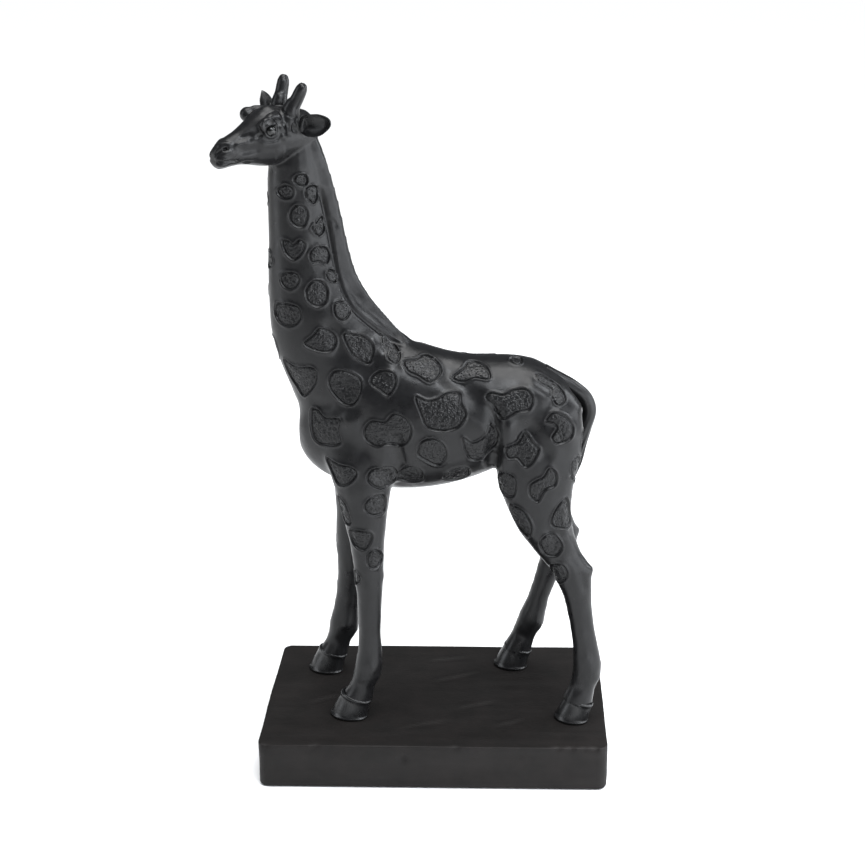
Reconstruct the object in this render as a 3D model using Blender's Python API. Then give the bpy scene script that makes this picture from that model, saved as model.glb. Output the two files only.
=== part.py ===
"""A standing giraffe on a rectangular plinth, cast in sections and bonded over steel rods.

The giraffe faces -X, +Z is up and -Y is its left side. The origin is on the surface that the plinth's
felt stands on, under its middle. Lengths below are in millimetres and are scaled to metres by MM.
"""

import math

import bmesh
import bpy
import numpy as np
from mathutils import Matrix, Vector

MM = 0.001

# ---------------------------------------------------------------- driving dimensions
GAP = 0.3               # glue gap left between bonded castings
PLINTH_LENGTH = 180.0
PLINTH_DEPTH = 108.0
PLINTH_TOP = 25.0
PLINTH_BOTTOM = 0.4     # the felt stands this far out of its recess
PLINTH_CORNER = 5.0     # radius of the upright corners
TOP_EDGE = 0.5          # softening of the rim round the top
BOTTOM_EDGE = 1.2       # and of the rim round the underside
FELT = (156.0, 84.0, 1.4)
FELT_CORNER = 4.0
FIGURE_Y = 3.0          # the giraffe's middle plane stands this far behind the plinth's centre line

ROD_RADIUS = 1.6
ROD_DEPTH = 12.0        # how far a leg rod reaches into the plinth
HOOF_JOINT = (36.0, 15.0)   # height and forward rise of the line round the top of a hoof, in degrees
LEG_JOINT = 142.0       # height of the glue joint between the trunk and each leg
HEAD_JOINT = 309.5      # height of the glue joint between neck and head
NECK_JOINT = (-57.0, 234.0, 24.0)   # x, z and lean of the glue joint between trunk and neck

HEAD_AT = (-66.5, 3.0, 327.0)   # the skull's middle
HEAD_TURN = 38.0        # degrees that the muzzle is turned towards the giraffe's left
HEAD_TILT = 8.0         # degrees that the left ear is lower than the right

# ---------------------------------------------------------------- sections
# Each loft runs through elliptical sections: x, y, z of the middle, half depth, half width, lean in degrees.
# A lean of 0 is a level section with its depth along X; at 90 the section stands upright across the trunk.

TRUNK = [
    (-68.5, 0, 178, 10, 7, 90),
    (-64.5, 0, 178.5, 17.5, 13, 90),
    (-56.5, 0, 180, 26, 18.4, 90),
    (-44, 0, 183, 34, 23.5, 90),
    (-28, 0, 186.3, 39.8, 26, 90),
    (-10, 0, 185, 38.8, 27.5, 90),
    (7, 0, 183.9, 35, 27.5, 90),
    (22, 0, 185.2, 31.5, 26, 90),
    (36, 0, 188.5, 28.5, 25, 90),
    (50, 0, 190, 25, 24, 90),
    (61, 0, 188.5, 20.5, 21, 90),
    (69, 0, 186, 15, 15.5, 90),
    (73.5, 0, 184, 8, 8, 90),
]

NECK = [
    (-38, 0, 190, 32, 20, 52),
    (-47, 0, 212, 29.5, 19, 38),
    (-56.2, 0, 232, 26, 17.5, 24),
    (-60.6, 0, 248, 21.3, 15.2, 12),
    (-62.9, 0, 262, 18.4, 13.6, 6),
    (-64.1, 0, 276, 16.2, 12.3, 3),
    (-65.1, 0, 290, 14.9, 11.4, 2),
    (-66, 0, 303, 13.6, 10.6, 0),
    (-66.3, 0, 313, 12.4, 10.2, 0),
    (-65.5, 0, 324, 9.5, 8.5, 0),
]

# The head's sections, in its own frame: forward from the skull's middle, height, half height, half width.
HEAD = [
    (-11, 0.5, 6.5, 6),
    (-7, 1.2, 10.2, 9),
    (0, 1.2, 12, 10.8),
    (7, 1.1, 13.4, 11.2),
    (13, 0.8, 14.2, 10.9),
    (19, 0.2, 13.2, 9.8),
    (25, -1.3, 10.4, 8),
    (30.5, -3.1, 8.1, 6.8),
    (36, -4.8, 7, 6.2),
    (40, -6.3, 6.1, 5.4),
    (42.6, -6.9, 3.4, 3.6),
]

LEFT_FORELEG = [
    (-34, -9, 196, 15, 8, 0),
    (-37, -13, 182, 19, 10.5, 0),
    (-37, -15.5, 168, 18, 11.5, 0),
    (-35.5, -17.5, 153, 14.8, 10.8, 0),
    (-34.8, -19, 138, 11.6, 9.6, 0),
    (-33.8, -20.5, 123, 9, 8.4, 0),
    (-33.2, -21.5, 109, 7.8, 7.6, 0),
    (-33, -22.3, 97, 6.9, 6.9, 0),
    (-33.2, -23, 85, 6.2, 6.2, 0),
    (-33.4, -23.5, 73, 5.7, 5.7, 0),
    (-33.6, -24, 63, 6.4, 6, 0),
    (-34.2, -24.3, 55, 7.4, 6.8, 0),
    (-35.2, -24.4, 49, 7.4, 6.8, 0),
    (-37.6, -24.5, 43, 7, 6.3, 0),
    (-40.5, -24.5, 37, 8.3, 7.4, 0),
    (-42.8, -24.5, 31, 9.6, 8.4, 0),
    (-44.7, -24.5, 25, 10.7, 9, 0),
]

RIGHT_FORELEG = [
    (-38, 9, 196, 15, 8, 0),
    (-42, 13, 182, 18, 10.5, 0),
    (-43, 16, 168, 16, 11.5, 0),
    (-43.5, 18.5, 153, 13, 10.8, 0),
    (-44.5, 20.5, 138, 10.2, 9.2, 0),
    (-46, 22, 123, 8.2, 8, 0),
    (-47.2, 23.2, 109, 7.8, 7.6, 0),
    (-47.4, 23.9, 97, 7.4, 6.9, 0),
    (-47.8, 24.3, 85, 6.8, 6.2, 0),
    (-49.2, 24.6, 73, 6.5, 5.7, 0),
    (-50.8, 24.7, 63, 7.1, 6, 0),
    (-51.9, 24.8, 55, 8.2, 6.8, 0),
    (-52.8, 24.8, 49, 8.1, 6.8, 0),
    (-55.4, 24.8, 43, 7.2, 6.3, 0),
    (-58.4, 24.8, 37, 8.3, 7.4, 0),
    (-60.6, 24.8, 31, 9.4, 8.4, 0),
    (-62.3, 24.8, 25, 10.3, 9, 0),
]

LEFT_HINDLEG = [
    (56, -7, 206, 10, 7, 0),
    (56, -11, 195, 18.7, 11.5, 0),
    (54, -14, 181, 22.3, 13, 0),
    (52.7, -15.8, 166, 21.7, 12.6, 0),
    (52.2, -17, 153, 19, 11.4, 0),
    (54, -18.2, 141, 16.2, 10, 0),
    (57.6, -19.5, 129.5, 14, 9, 0),
    (64.2, -20.5, 118, 11.6, 8, 0),
    (70.6, -21.3, 110, 10.9, 7.6, 0),
    (73.2, -22, 100, 8.3, 6.8, 0),
    (75, -22.5, 90, 6.8, 6, 0),
    (77, -23.2, 78, 6.2, 5.7, 0),
    (78.8, -24, 67, 6.6, 6, 0),
    (80.1, -24.7, 57, 7.6, 6.8, 0),
    (79.9, -25.2, 51, 7.6, 6.8, 0),
    (78, -25.6, 44.5, 7, 6.3, 0),
    (75.8, -25.9, 38, 7.9, 7.3, 0),
    (74.2, -26, 31.5, 9, 8.3, 0),
    (73, -26, 25, 9.8, 8.8, 0),
]

RIGHT_HINDLEG = [
    (56, 7, 206, 10, 7, 0),
    (55.5, 11.5, 195, 18, 11.5, 0),
    (53, 15, 181, 21, 13, 0),
    (52, 17, 166, 20, 12.6, 0),
    (52, 19, 153, 17, 11.4, 0),
    (53.6, 21, 141, 14.5, 10, 0),
    (57, 23, 129.5, 12.3, 9, 0),
    (62.6, 25, 118, 10.6, 8, 0),
    (66.6, 26.5, 109, 10.2, 7.6, 0),
    (66, 28, 99, 9.4, 6.8, 0),
    (63, 29, 90, 7.8, 6, 0),
    (59, 29.8, 79, 6.2, 5.7, 0),
    (55.4, 30.3, 68, 5.9, 6, 0),
    (52.4, 30.6, 58, 7.3, 6.8, 0),
    (51, 30.8, 52, 7.9, 6.8, 0),
    (47.8, 31, 45, 7.2, 6.3, 0),
    (44.6, 31, 38, 7.9, 7.3, 0),
    (42.5, 31, 31.5, 9.1, 8.3, 0),
    (40.8, 31, 25, 10, 8.8, 0),
]

# Middle line of the mane, from the poll down to the withers, with its half depth and half thickness.
MANE = [
    (-56, 0, 318, 4.4, 3.2, 2),
    (-53.8, 0, 306, 5.8, 3.6, 5),
    (-50.6, 0, 290, 6.3, 3.8, 9),
    (-48, 0, 274, 6.7, 4.1, 12),
    (-44.4, 0, 257.3, 7.2, 4.6, 22),
    (-38.6, 0, 244.9, 7.8, 5.4, 36),
    (-30.2, 0, 235.8, 7.4, 6, 46),
    (-21.4, 0, 228.6, 6, 5.6, 50),
    (-13, 0, 223.4, 3.6, 4, 54),
]

TAIL = [
    (55, 0, 208, 4.4, 4.2, 66),
    (62.5, 0, 204.6, 4.2, 4, 56),
    (70, 0, 200.6, 4, 3.8, 42),
    (76.4, 0, 195.2, 3.8, 3.6, 22),
    (79, 0, 187.6, 3.6, 3.4, 4),
    (76.8, 0, 178.5, 3.5, 3.5, -8),
    (74.2, 0, 169.5, 3.6, 3.8, -9),
    (72, 0, 160, 3.6, 4, -10),
    (70, 0, 151, 2, 2.4, -10),
]

# A horn and an ear, in the head's own frame: forward, to its side, height. Then half depth, half width.
HORN = [
    (4.9, 4.8, 10.5, 3.6, 3.6),
    (4, 5.8, 15, 3.5, 3.5),
    (2.3, 7.1, 19.5, 3.2, 3.2),
    (0.8, 8.3, 24.4, 2.9, 2.9),
    (0.2, 8.8, 27, 1.6, 1.6),
]

EAR = [
    (1.2, 8.2, 6.3, 2.3, 2.1),
    (1, 11, 7.4, 3.6, 2.1),
    (0.2, 14.5, 8.5, 5, 2),
    (-1, 18.5, 9.7, 5.5, 1.9),
    (-2.4, 22.5, 11.3, 4.6, 1.7),
    (-3.8, 26, 12.6, 2.2, 1.3),
]
EAR_SWING = {1: 0.0, -1: 0.3}    # how far the left and the right ear are swung forward, along their length

# Forward, sideways, height and radius of the ridge over each eye, of the lids round it and of the eye.
BROW = (19.5, 9.2, 9.3, 3.8)
LIDS = (17.4, 8.0, 6.4, 4.0)
EYE = (17.6, 9.8, 6.6, 2.5)

NECK_ROD = [(-43, 204), (-50, 218), (-57, 234), (-61.5, 252), (-64, 272), (-65.5, 296), (-66, 320)]

CAST_COLOUR = (0.020, 0.020, 0.021)
STEEL_COLOUR = (0.42, 0.42, 0.43)
FELT_COLOUR = (0.03, 0.03, 0.03)


# ---------------------------------------------------------------- helpers
def clear_scene():
    for obj in list(bpy.data.objects):
        bpy.data.objects.remove(obj)


def material(name, colour, roughness, metallic=0.0):
    made = bpy.data.materials.new(name)
    made.use_nodes = True
    shader = made.node_tree.nodes["Principled BSDF"]
    shader.inputs["Base Color"].default_value = (*colour, 1.0)
    shader.inputs["Roughness"].default_value = roughness
    shader.inputs["Metallic"].default_value = metallic
    return made


def smooth_stations(stations, per_span):
    """The stations with per_span steps between neighbours, on a Hermite curve that passes through each one."""
    table = np.array(stations, float)
    count = len(table)
    slopes = np.empty_like(table)
    slopes[1:-1] = (table[2:] - table[:-2]) / 2
    slopes[0] = table[1] - table[0]
    slopes[-1] = table[-1] - table[-2]
    rows = []
    for i in range(count - 1):
        for step in range(per_span):
            t = step / per_span
            rows.append(
                (1 + 2 * t) * (1 - t) ** 2 * table[i]
                + t * (1 - t) ** 2 * slopes[i]
                + t * t * (3 - 2 * t) * table[i + 1]
                + t * t * (t - 1) * slopes[i + 1]
            )
    rows.append(table[-1])
    return rows


def ring(bm, sides, scale, place):
    """One closed elliptical loop of edges, half depth and half width in scale, set by the matrix place."""
    made = bmesh.ops.create_circle(bm, segments=sides, radius=1.0)["verts"]
    bmesh.ops.transform(bm, matrix=place @ Matrix.Diagonal((scale[0], scale[1], 1, 1)), verts=made)
    return made, list({edge for vert in made for edge in vert.link_edges})


def bridged(name, sides, rings):
    """A closed skin over rings, each given as (half depth, half width) and a matrix in millimetres."""
    bm = bmesh.new()
    loops = [ring(bm, sides, scale, place) for scale, place in rings]
    for (_, first), (_, second) in zip(loops, loops[1:]):
        bmesh.ops.bridge_loops(bm, edges=first + second)
    for verts, _ in (loops[0], loops[-1]):
        bmesh.ops.contextual_create(bm, geom=verts)
    bmesh.ops.recalc_face_normals(bm, faces=bm.faces)
    bmesh.ops.scale(bm, vec=(MM, MM, MM), verts=bm.verts)
    return finish_mesh(bm, name)


def finish_mesh(bm, name):
    mesh = bpy.data.meshes.new(name)
    bm.to_mesh(mesh)
    bm.free()
    mesh.shade_smooth()
    obj = bpy.data.objects.new(name, mesh)
    bpy.context.scene.collection.objects.link(obj)
    return obj


def limb(name, stations, sides, per_span=2, grow=0.0):
    """A loft through x, y, z, half depth, half width and lean. grow makes it fatter, for a socket."""
    rings = []
    for x, y, z, deep, wide, lean in smooth_stations(stations, per_span):
        place = Matrix.Translation((x, y + FIGURE_Y, z)) @ Matrix.Rotation(-math.radians(lean), 4, "Y")
        rings.append(((deep + grow, wide + grow), place))
    return bridged(name, sides, rings)


def head_matrix():
    """Carries forward, left and height in the head's own frame to the figure."""
    turn = math.radians(HEAD_TURN)
    forward = Vector((-math.cos(turn), -math.sin(turn), 0))
    level = Vector((math.sin(turn), -math.cos(turn), 0))
    left = Matrix.Rotation(math.radians(-HEAD_TILT), 3, forward) @ level
    columns = (forward, left, forward.cross(left))
    frame = Matrix([[c[i] for c in columns] for i in range(3)]).to_4x4()
    return Matrix.Translation(HEAD_AT) @ frame


def head_skin(name):
    """The head from the back of the skull to the lips, on upright sections across its own length."""
    frame = head_matrix()
    rings = []
    for forward, height, tall, wide in smooth_stations(HEAD, 2):
        upright = Matrix(((0, 0, 1, 0), (0, 1, 0, 0), (1, 0, 0, 0), (0, 0, 0, 1)))
        rings.append(((tall, wide), frame @ Matrix.Translation((forward, 0, height)) @ upright))
    return bridged(name, 20, rings)


def bonded_stalk(name, stations, side, flat_along, sides, grow=0.0):
    """A horn or an ear: sections square to its own line in the head's frame, mirrored by side (1 is left)."""
    frame = head_matrix()
    rows = smooth_stations(stations, 2)
    points = [Vector((row[0], side * row[1], row[2])) for row in rows]
    rings = []
    for i, row in enumerate(rows):
        along = (points[min(i + 1, len(points) - 1)] - points[max(i - 1, 0)]).normalized()
        across = along.cross(flat_along).normalized()
        up = across.cross(along)
        turn = Matrix([[up[k], across[k], along[k]] for k in range(3)]).to_4x4()
        rings.append(((row[3] + grow, row[4] + grow), frame @ Matrix.Translation(points[i]) @ turn))
    return bridged(name, sides, rings)


def ball_on_head(name, spec, side, grow=0.0):
    forward, sideways, height, radius = spec
    bm = bmesh.new()
    bmesh.ops.create_icosphere(bm, subdivisions=2, radius=(radius + grow) * MM)
    centre = head_matrix() @ Vector((forward, side * sideways, height))
    bmesh.ops.translate(bm, vec=centre * MM, verts=bm.verts)
    return finish_mesh(bm, name)


def tube(name, points, radius, sides=10):
    """A rod along points given in millimetres, with flat ends."""
    curve = bpy.data.curves.new(name, "CURVE")
    curve.dimensions = "3D"
    curve.bevel_depth = radius * MM
    curve.bevel_resolution = max(0, (sides - 4) // 2)
    curve.use_fill_caps = True
    spline = curve.splines.new("POLY")
    spline.points.add(len(points) - 1)
    for point, (x, y, z) in zip(spline.points, points):
        point.co = (x * MM, y * MM, z * MM, 1)
    obj = bpy.data.objects.new(name, curve)
    bpy.context.scene.collection.objects.link(obj)
    return as_mesh(obj)


def as_mesh(obj):
    """The evaluated shape of obj as a plain mesh object of the same name, in place of obj."""
    bpy.context.view_layer.update()
    graph = bpy.context.evaluated_depsgraph_get()
    mesh = bpy.data.meshes.new_from_object(obj.evaluated_get(graph))
    name = obj.name
    bm = bmesh.new()
    bm.from_mesh(mesh)
    bmesh.ops.remove_doubles(bm, verts=bm.verts, dist=0.01 * MM)
    bmesh.ops.recalc_face_normals(bm, faces=bm.faces)
    bpy.data.objects.remove(obj)
    return finish_mesh(bm, name)


def combine(target, others, operation):
    """target joined with, or cut by, each of the others, which are then removed."""
    for other in others:
        step = target.modifiers.new(operation.title(), "BOOLEAN")
        step.operation = operation
        step.object = other
    name = target.name
    made = as_mesh(target)
    made.name = name
    for other in others:
        bpy.data.objects.remove(other)
    return made


def trimmed(obj, point, normal):
    """obj without what lies on the side of the plane that normal points to, with the cut closed."""
    bm = bmesh.new()
    bm.from_mesh(obj.data)
    cut = bmesh.ops.bisect_plane(
        bm,
        geom=bm.verts[:] + bm.edges[:] + bm.faces[:],
        plane_co=Vector(point) * MM,
        plane_no=Vector(normal),
        clear_outer=True,
    )["geom_cut"]
    bmesh.ops.contextual_create(bm, geom=[g for g in cut if isinstance(g, bmesh.types.BMEdge)])
    bmesh.ops.recalc_face_normals(bm, faces=bm.faces)
    name = obj.name
    bpy.data.objects.remove(obj)
    return finish_mesh(bm, name)


# ---------------------------------------------------------------- the legs and their rods
LEGS = {
    "left_foreleg": LEFT_FORELEG,
    "right_foreleg": RIGHT_FORELEG,
    "left_hindleg": LEFT_HINDLEG,
    "right_hindleg": RIGHT_HINDLEG,
}


def leg_rod(name, stations, grow=0.0):
    """A steel rod down the middle of a leg, from inside the trunk into the plinth."""
    rows = [row for row in smooth_stations(stations, 1) if row[2] < LEG_JOINT + 25]
    points = [(x, y + FIGURE_Y, z) for x, y, z, *_ in rows]
    foot = points[-1]
    lowest = PLINTH_TOP - ROD_DEPTH - (GAP if grow else 0)
    return tube(name, points + [(foot[0], foot[1], lowest)], ROD_RADIUS + grow)


def hoof_joint(stations, side):
    """A point on the joint above a hoof, moved half the gap to one side, and its normal."""
    height, rise = HOOF_JOINT
    foot = stations[-1]
    normal = Vector((math.sin(math.radians(rise)), 0, math.cos(math.radians(rise))))
    return Vector((foot[0], foot[1] + FIGURE_Y, height)) + normal * side * GAP / 2, normal


def make_legs(cast):
    """Each leg below the trunk, and its hoof, bored for the rod."""
    for name, stations in LEGS.items():
        point, normal = hoof_joint(stations, 1)
        leg = trimmed(limb(name, stations, 16, 1), (0, 0, LEG_JOINT - GAP / 2), (0, 0, 1))
        leg = trimmed(leg, point, -normal)
        point, normal = hoof_joint(stations, -1)
        hoof = trimmed(limb(name.replace("leg", "hoof"), stations, 16, 1), point, normal)
        hoof = trimmed(hoof, (0, 0, PLINTH_TOP + GAP), (0, 0, -1))
        for piece in (leg, hoof):
            piece = combine(piece, [leg_rod("bore", stations, GAP)], "DIFFERENCE")
            piece.data.materials.append(cast)


def make_rods(steel):
    for name, stations in LEGS.items():
        rod = leg_rod(name + "_rod", stations)
        rod.data.materials.append(steel)
    rod = neck_rod("neck_rod")
    rod.data.materials.append(steel)


def neck_rod(name, grow=0.0):
    end = GAP if grow else 0
    points = [(x, FIGURE_Y, z) for x, z in NECK_ROD]
    points[0] = (points[0][0], points[0][1], points[0][2] - end)
    points[-1] = (points[-1][0], points[-1][1], points[-1][2] + end)
    return tube(name, points, ROD_RADIUS + grow)


# ---------------------------------------------------------------- trunk, neck and head
def neck_joint_plane(side):
    """A point on the joint between trunk and neck, moved half the gap to one side, and its normal."""
    x, z, lean = NECK_JOINT
    normal = Vector((-math.sin(math.radians(lean)), 0, math.cos(math.radians(lean))))
    return Vector((x, FIGURE_Y, z)) + normal * side * GAP / 2, normal


def make_trunk(cast):
    trunk = limb("trunk", TRUNK, 28)
    point, normal = neck_joint_plane(-1)
    root_of_neck = trimmed(limb("root_of_neck", NECK, 20), point, normal)
    haunches = [
        trimmed(limb("upper_" + name, stations, 16, 1), (0, 0, LEG_JOINT + GAP / 2), (0, 0, -1))
        for name, stations in LEGS.items()
    ]
    trunk = combine(trunk, [root_of_neck, *haunches], "UNION")
    cutters = [leg_rod("bore", stations, GAP) for stations in LEGS.values()]
    cutters += [neck_rod("neck_bore", GAP), limb("mane_seat", MANE, 12, grow=GAP)]
    cutters += [limb("tail_seat", TAIL, 10, grow=GAP)]
    trunk = combine(trunk, cutters, "DIFFERENCE")
    trunk.data.materials.append(cast)


def make_neck(cast):
    point, normal = neck_joint_plane(1)
    neck = trimmed(limb("neck", NECK, 20), point, -normal)
    neck = trimmed(neck, (0, 0, HEAD_JOINT - GAP / 2), (0, 0, 1))
    cutters = [neck_rod("neck_bore", GAP), limb("mane_seat", MANE, 12, grow=GAP)]
    neck = combine(neck, cutters, "DIFFERENCE")
    neck.data.materials.append(cast)


def make_head(cast):
    head = head_skin("head")
    nape = trimmed(limb("nape", NECK, 20), (0, 0, HEAD_JOINT + GAP / 2), (0, 0, -1))
    lumps = [ball_on_head("lump", spec, side) for spec in (BROW, LIDS) for side in (1, -1)]
    head = combine(head, [nape, *lumps], "UNION")
    cutters = [neck_rod("neck_bore", GAP), limb("mane_seat", MANE, 12, grow=GAP)]
    for side in (1, -1):
        cutters.append(horn("horn_socket", side, GAP))
        cutters.append(ear("ear_socket", side, GAP))
        cutters.append(ball_on_head("eye_socket", EYE, side, GAP))
    head = combine(head, cutters, "DIFFERENCE")
    head.data.materials.append(cast)


def horn(name, side, grow=0.0):
    return bonded_stalk(name, HORN, side, Vector((1, 0, 0)), 12, grow)


def ear(name, side, grow=0.0):
    """An ear is a leaf that stands on edge: tall in its half depth, thin in its half width."""
    root = EAR[0][1]
    stations = [(f + EAR_SWING[side] * (out - root), out, *rest) for f, out, *rest in EAR]
    return bonded_stalk(name, stations, side, Vector((0, 0, 1)), 12, grow)


def make_bonded_pieces(cast):
    for word, side in (("left", 1), ("right", -1)):
        horn(word + "_horn", side).data.materials.append(cast)
        ear(word + "_ear", side).data.materials.append(cast)
        ball_on_head(word + "_eye", EYE, side).data.materials.append(cast)
    limb("mane", MANE, 12).data.materials.append(cast)
    limb("tail", TAIL, 10).data.materials.append(cast)


# ---------------------------------------------------------------- plinth and felt
def block(size, corner, low):
    """A box with rounded upright corners, in millimetres, centred over the origin and standing at low."""
    bm = bmesh.new()
    bmesh.ops.create_cube(bm, size=1.0)
    bmesh.ops.scale(bm, vec=size, verts=bm.verts)
    bmesh.ops.translate(bm, vec=(0, 0, low + size[2] / 2), verts=bm.verts)
    upright = [e for e in bm.edges if e.verts[0].co.xy == e.verts[1].co.xy]
    bmesh.ops.bevel(bm, geom=upright, offset=corner, segments=5, affect="EDGES", profile=0.5)
    return bm


def make_plinth(cast):
    bm = block((PLINTH_LENGTH, PLINTH_DEPTH, PLINTH_TOP - PLINTH_BOTTOM), PLINTH_CORNER, PLINTH_BOTTOM)
    for facing, offset in ((1, TOP_EDGE), (-1, BOTTOM_EDGE)):
        rim = [e for f in bm.faces if f.normal.z * facing > 0.9 for e in f.edges]
        bmesh.ops.bevel(bm, geom=rim, offset=offset, segments=2, affect="EDGES", profile=0.5)
    bmesh.ops.scale(bm, vec=(MM, MM, MM), verts=bm.verts)
    plinth = finish_mesh(bm, "plinth")
    cutters = [leg_rod("bore", stations, GAP) for stations in LEGS.values()]
    cutters.append(felt_sheet("recess", GAP))
    plinth = combine(plinth, cutters, "DIFFERENCE")
    plinth.data.materials.append(cast)


def felt_sheet(name, grow=0.0):
    """The felt, or with grow the recess that takes it."""
    length, depth, thickness = FELT
    bm = block((length + 2 * grow, depth + 2 * grow, thickness + grow), FELT_CORNER + grow, 0)
    bmesh.ops.scale(bm, vec=(MM, MM, MM), verts=bm.verts)
    return finish_mesh(bm, name)


def main():
    clear_scene()
    cast = material("black_cast_resin", CAST_COLOUR, 0.42)
    steel = material("steel_rod", STEEL_COLOUR, 0.35, 1.0)
    felt = material("felt", FELT_COLOUR, 0.95)
    make_plinth(cast)
    felt_sheet("base_felt").data.materials.append(felt)
    make_rods(steel)
    make_legs(cast)
    make_trunk(cast)
    make_neck(cast)
    make_head(cast)
    make_bonded_pieces(cast)


main()
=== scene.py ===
"""The looks of a cast giraffe statuette: one painted skin over its bonded castings, cut back into its pieces.

Sizes are in millimetres and become metres through MM. The giraffe faces -X and -Y is its left side.
"""

import math

import bmesh
import bpy
import numpy as np
from mathutils import Matrix, Vector, noise
from mathutils.bvhtree import BVHTree


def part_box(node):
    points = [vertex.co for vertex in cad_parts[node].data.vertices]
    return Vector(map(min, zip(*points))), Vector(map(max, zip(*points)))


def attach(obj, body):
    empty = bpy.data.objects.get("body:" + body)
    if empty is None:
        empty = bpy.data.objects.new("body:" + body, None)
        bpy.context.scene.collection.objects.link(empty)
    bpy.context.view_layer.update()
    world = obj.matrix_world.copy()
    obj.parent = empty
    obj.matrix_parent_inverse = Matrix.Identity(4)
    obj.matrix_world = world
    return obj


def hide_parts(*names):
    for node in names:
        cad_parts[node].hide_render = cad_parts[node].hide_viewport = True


MM = 0.001

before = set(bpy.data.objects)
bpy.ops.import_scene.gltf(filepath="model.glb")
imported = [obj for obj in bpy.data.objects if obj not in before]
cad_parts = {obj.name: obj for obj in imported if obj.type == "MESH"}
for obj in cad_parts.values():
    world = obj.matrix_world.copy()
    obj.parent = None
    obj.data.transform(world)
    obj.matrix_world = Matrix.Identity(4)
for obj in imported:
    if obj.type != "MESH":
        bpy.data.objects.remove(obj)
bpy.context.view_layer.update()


# ---------------------------------------------------------------- places taken from the frame
def low(node):
    return np.array(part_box(node)[0]) / MM


def high(node):
    return np.array(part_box(node)[1]) / MM


PLINTH_TOP = high("plinth")[2]
LEG_JOINT = high("left_foreleg")[2]
HEAD_JOINT = low("head")[2]
MIDDLE_Y = (low("mane")[1] + high("mane")[1]) / 2     # the plane that halves the trunk and the neck
NECK_LEAN = math.radians(24)
# A point of the neck's lower glue face, and the way up the neck.
NECK_JOINT = (Vector((-57, MIDDLE_Y, 234)), Vector((-math.sin(NECK_LEAN), 0, math.cos(NECK_LEAN))))
CORONET = 36                              # height of the glue face between leg and hoof
CORONET_SLOPE = math.radians(15)          # how that face climbs towards the toe
LEGS = ("left_foreleg", "right_foreleg", "left_hindleg", "right_hindleg")
SIDES = ((1, "left"), (-1, "right"))

SKULL = Vector((-66.5, MIDDLE_Y, 327))    # the middle of the skull, about which the head is turned
HEAD_TURN = math.radians(38)              # towards the giraffe's left
HEAD_TILT = math.radians(8)               # left ear down


def head_frame():
    """Columns forward, left and up of the head, and the skull's middle."""
    forward = Vector((-math.cos(HEAD_TURN), -math.sin(HEAD_TURN), 0))
    level = Vector((math.sin(HEAD_TURN), -math.cos(HEAD_TURN), 0))
    left = Matrix.Rotation(-HEAD_TILT, 3, forward) @ level
    axes = (forward, left, forward.cross(left))
    turn = Matrix([[axis[i] for axis in axes] for i in range(3)]).to_4x4()
    return Matrix.Translation(SKULL) @ turn


HEAD = head_frame()


def on_head(forward, left, up):
    return HEAD @ Vector((forward, left, up))


# ---------------------------------------------------------------- materials
def linear(code):
    """An sRGB hex colour as linear RGBA."""
    parts = [int(code[i:i + 2], 16) / 255 for i in (1, 3, 5)]
    return [c / 12.92 if c <= 0.04045 else ((c + 0.055) / 1.055) ** 2.4 for c in parts] + [1.0]


def new_material(name, colour, roughness, **sockets):
    made = bpy.data.materials.new(name)
    made.use_nodes = True
    shader = made.node_tree.nodes["Principled BSDF"]
    shader.inputs["Base Color"].default_value = linear(colour)
    shader.inputs["Roughness"].default_value = roughness
    for socket, value in sockets.items():
        shader.inputs[socket].default_value = value
    return made, made.node_tree, shader


def add(tree, kind, settings=(), **links):
    """A node of this kind. Settings are (name, value); a link gives an input a value or an output socket, and
    _6 means the input with that number."""
    node = tree.nodes.new(kind)
    for name, value in settings:
        setattr(node, name, value)
    for name, value in links.items():
        key = int(name[1:]) if name[0] == "_" and name[1:].isdigit() else name.replace("_", " ")
        if isinstance(value, bpy.types.NodeSocket):
            tree.links.new(value, node.inputs[key])
        else:
            node.inputs[key].default_value = value
    return node


def place(tree):
    return add(tree, "ShaderNodeTexCoord").outputs["Object"]


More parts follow.
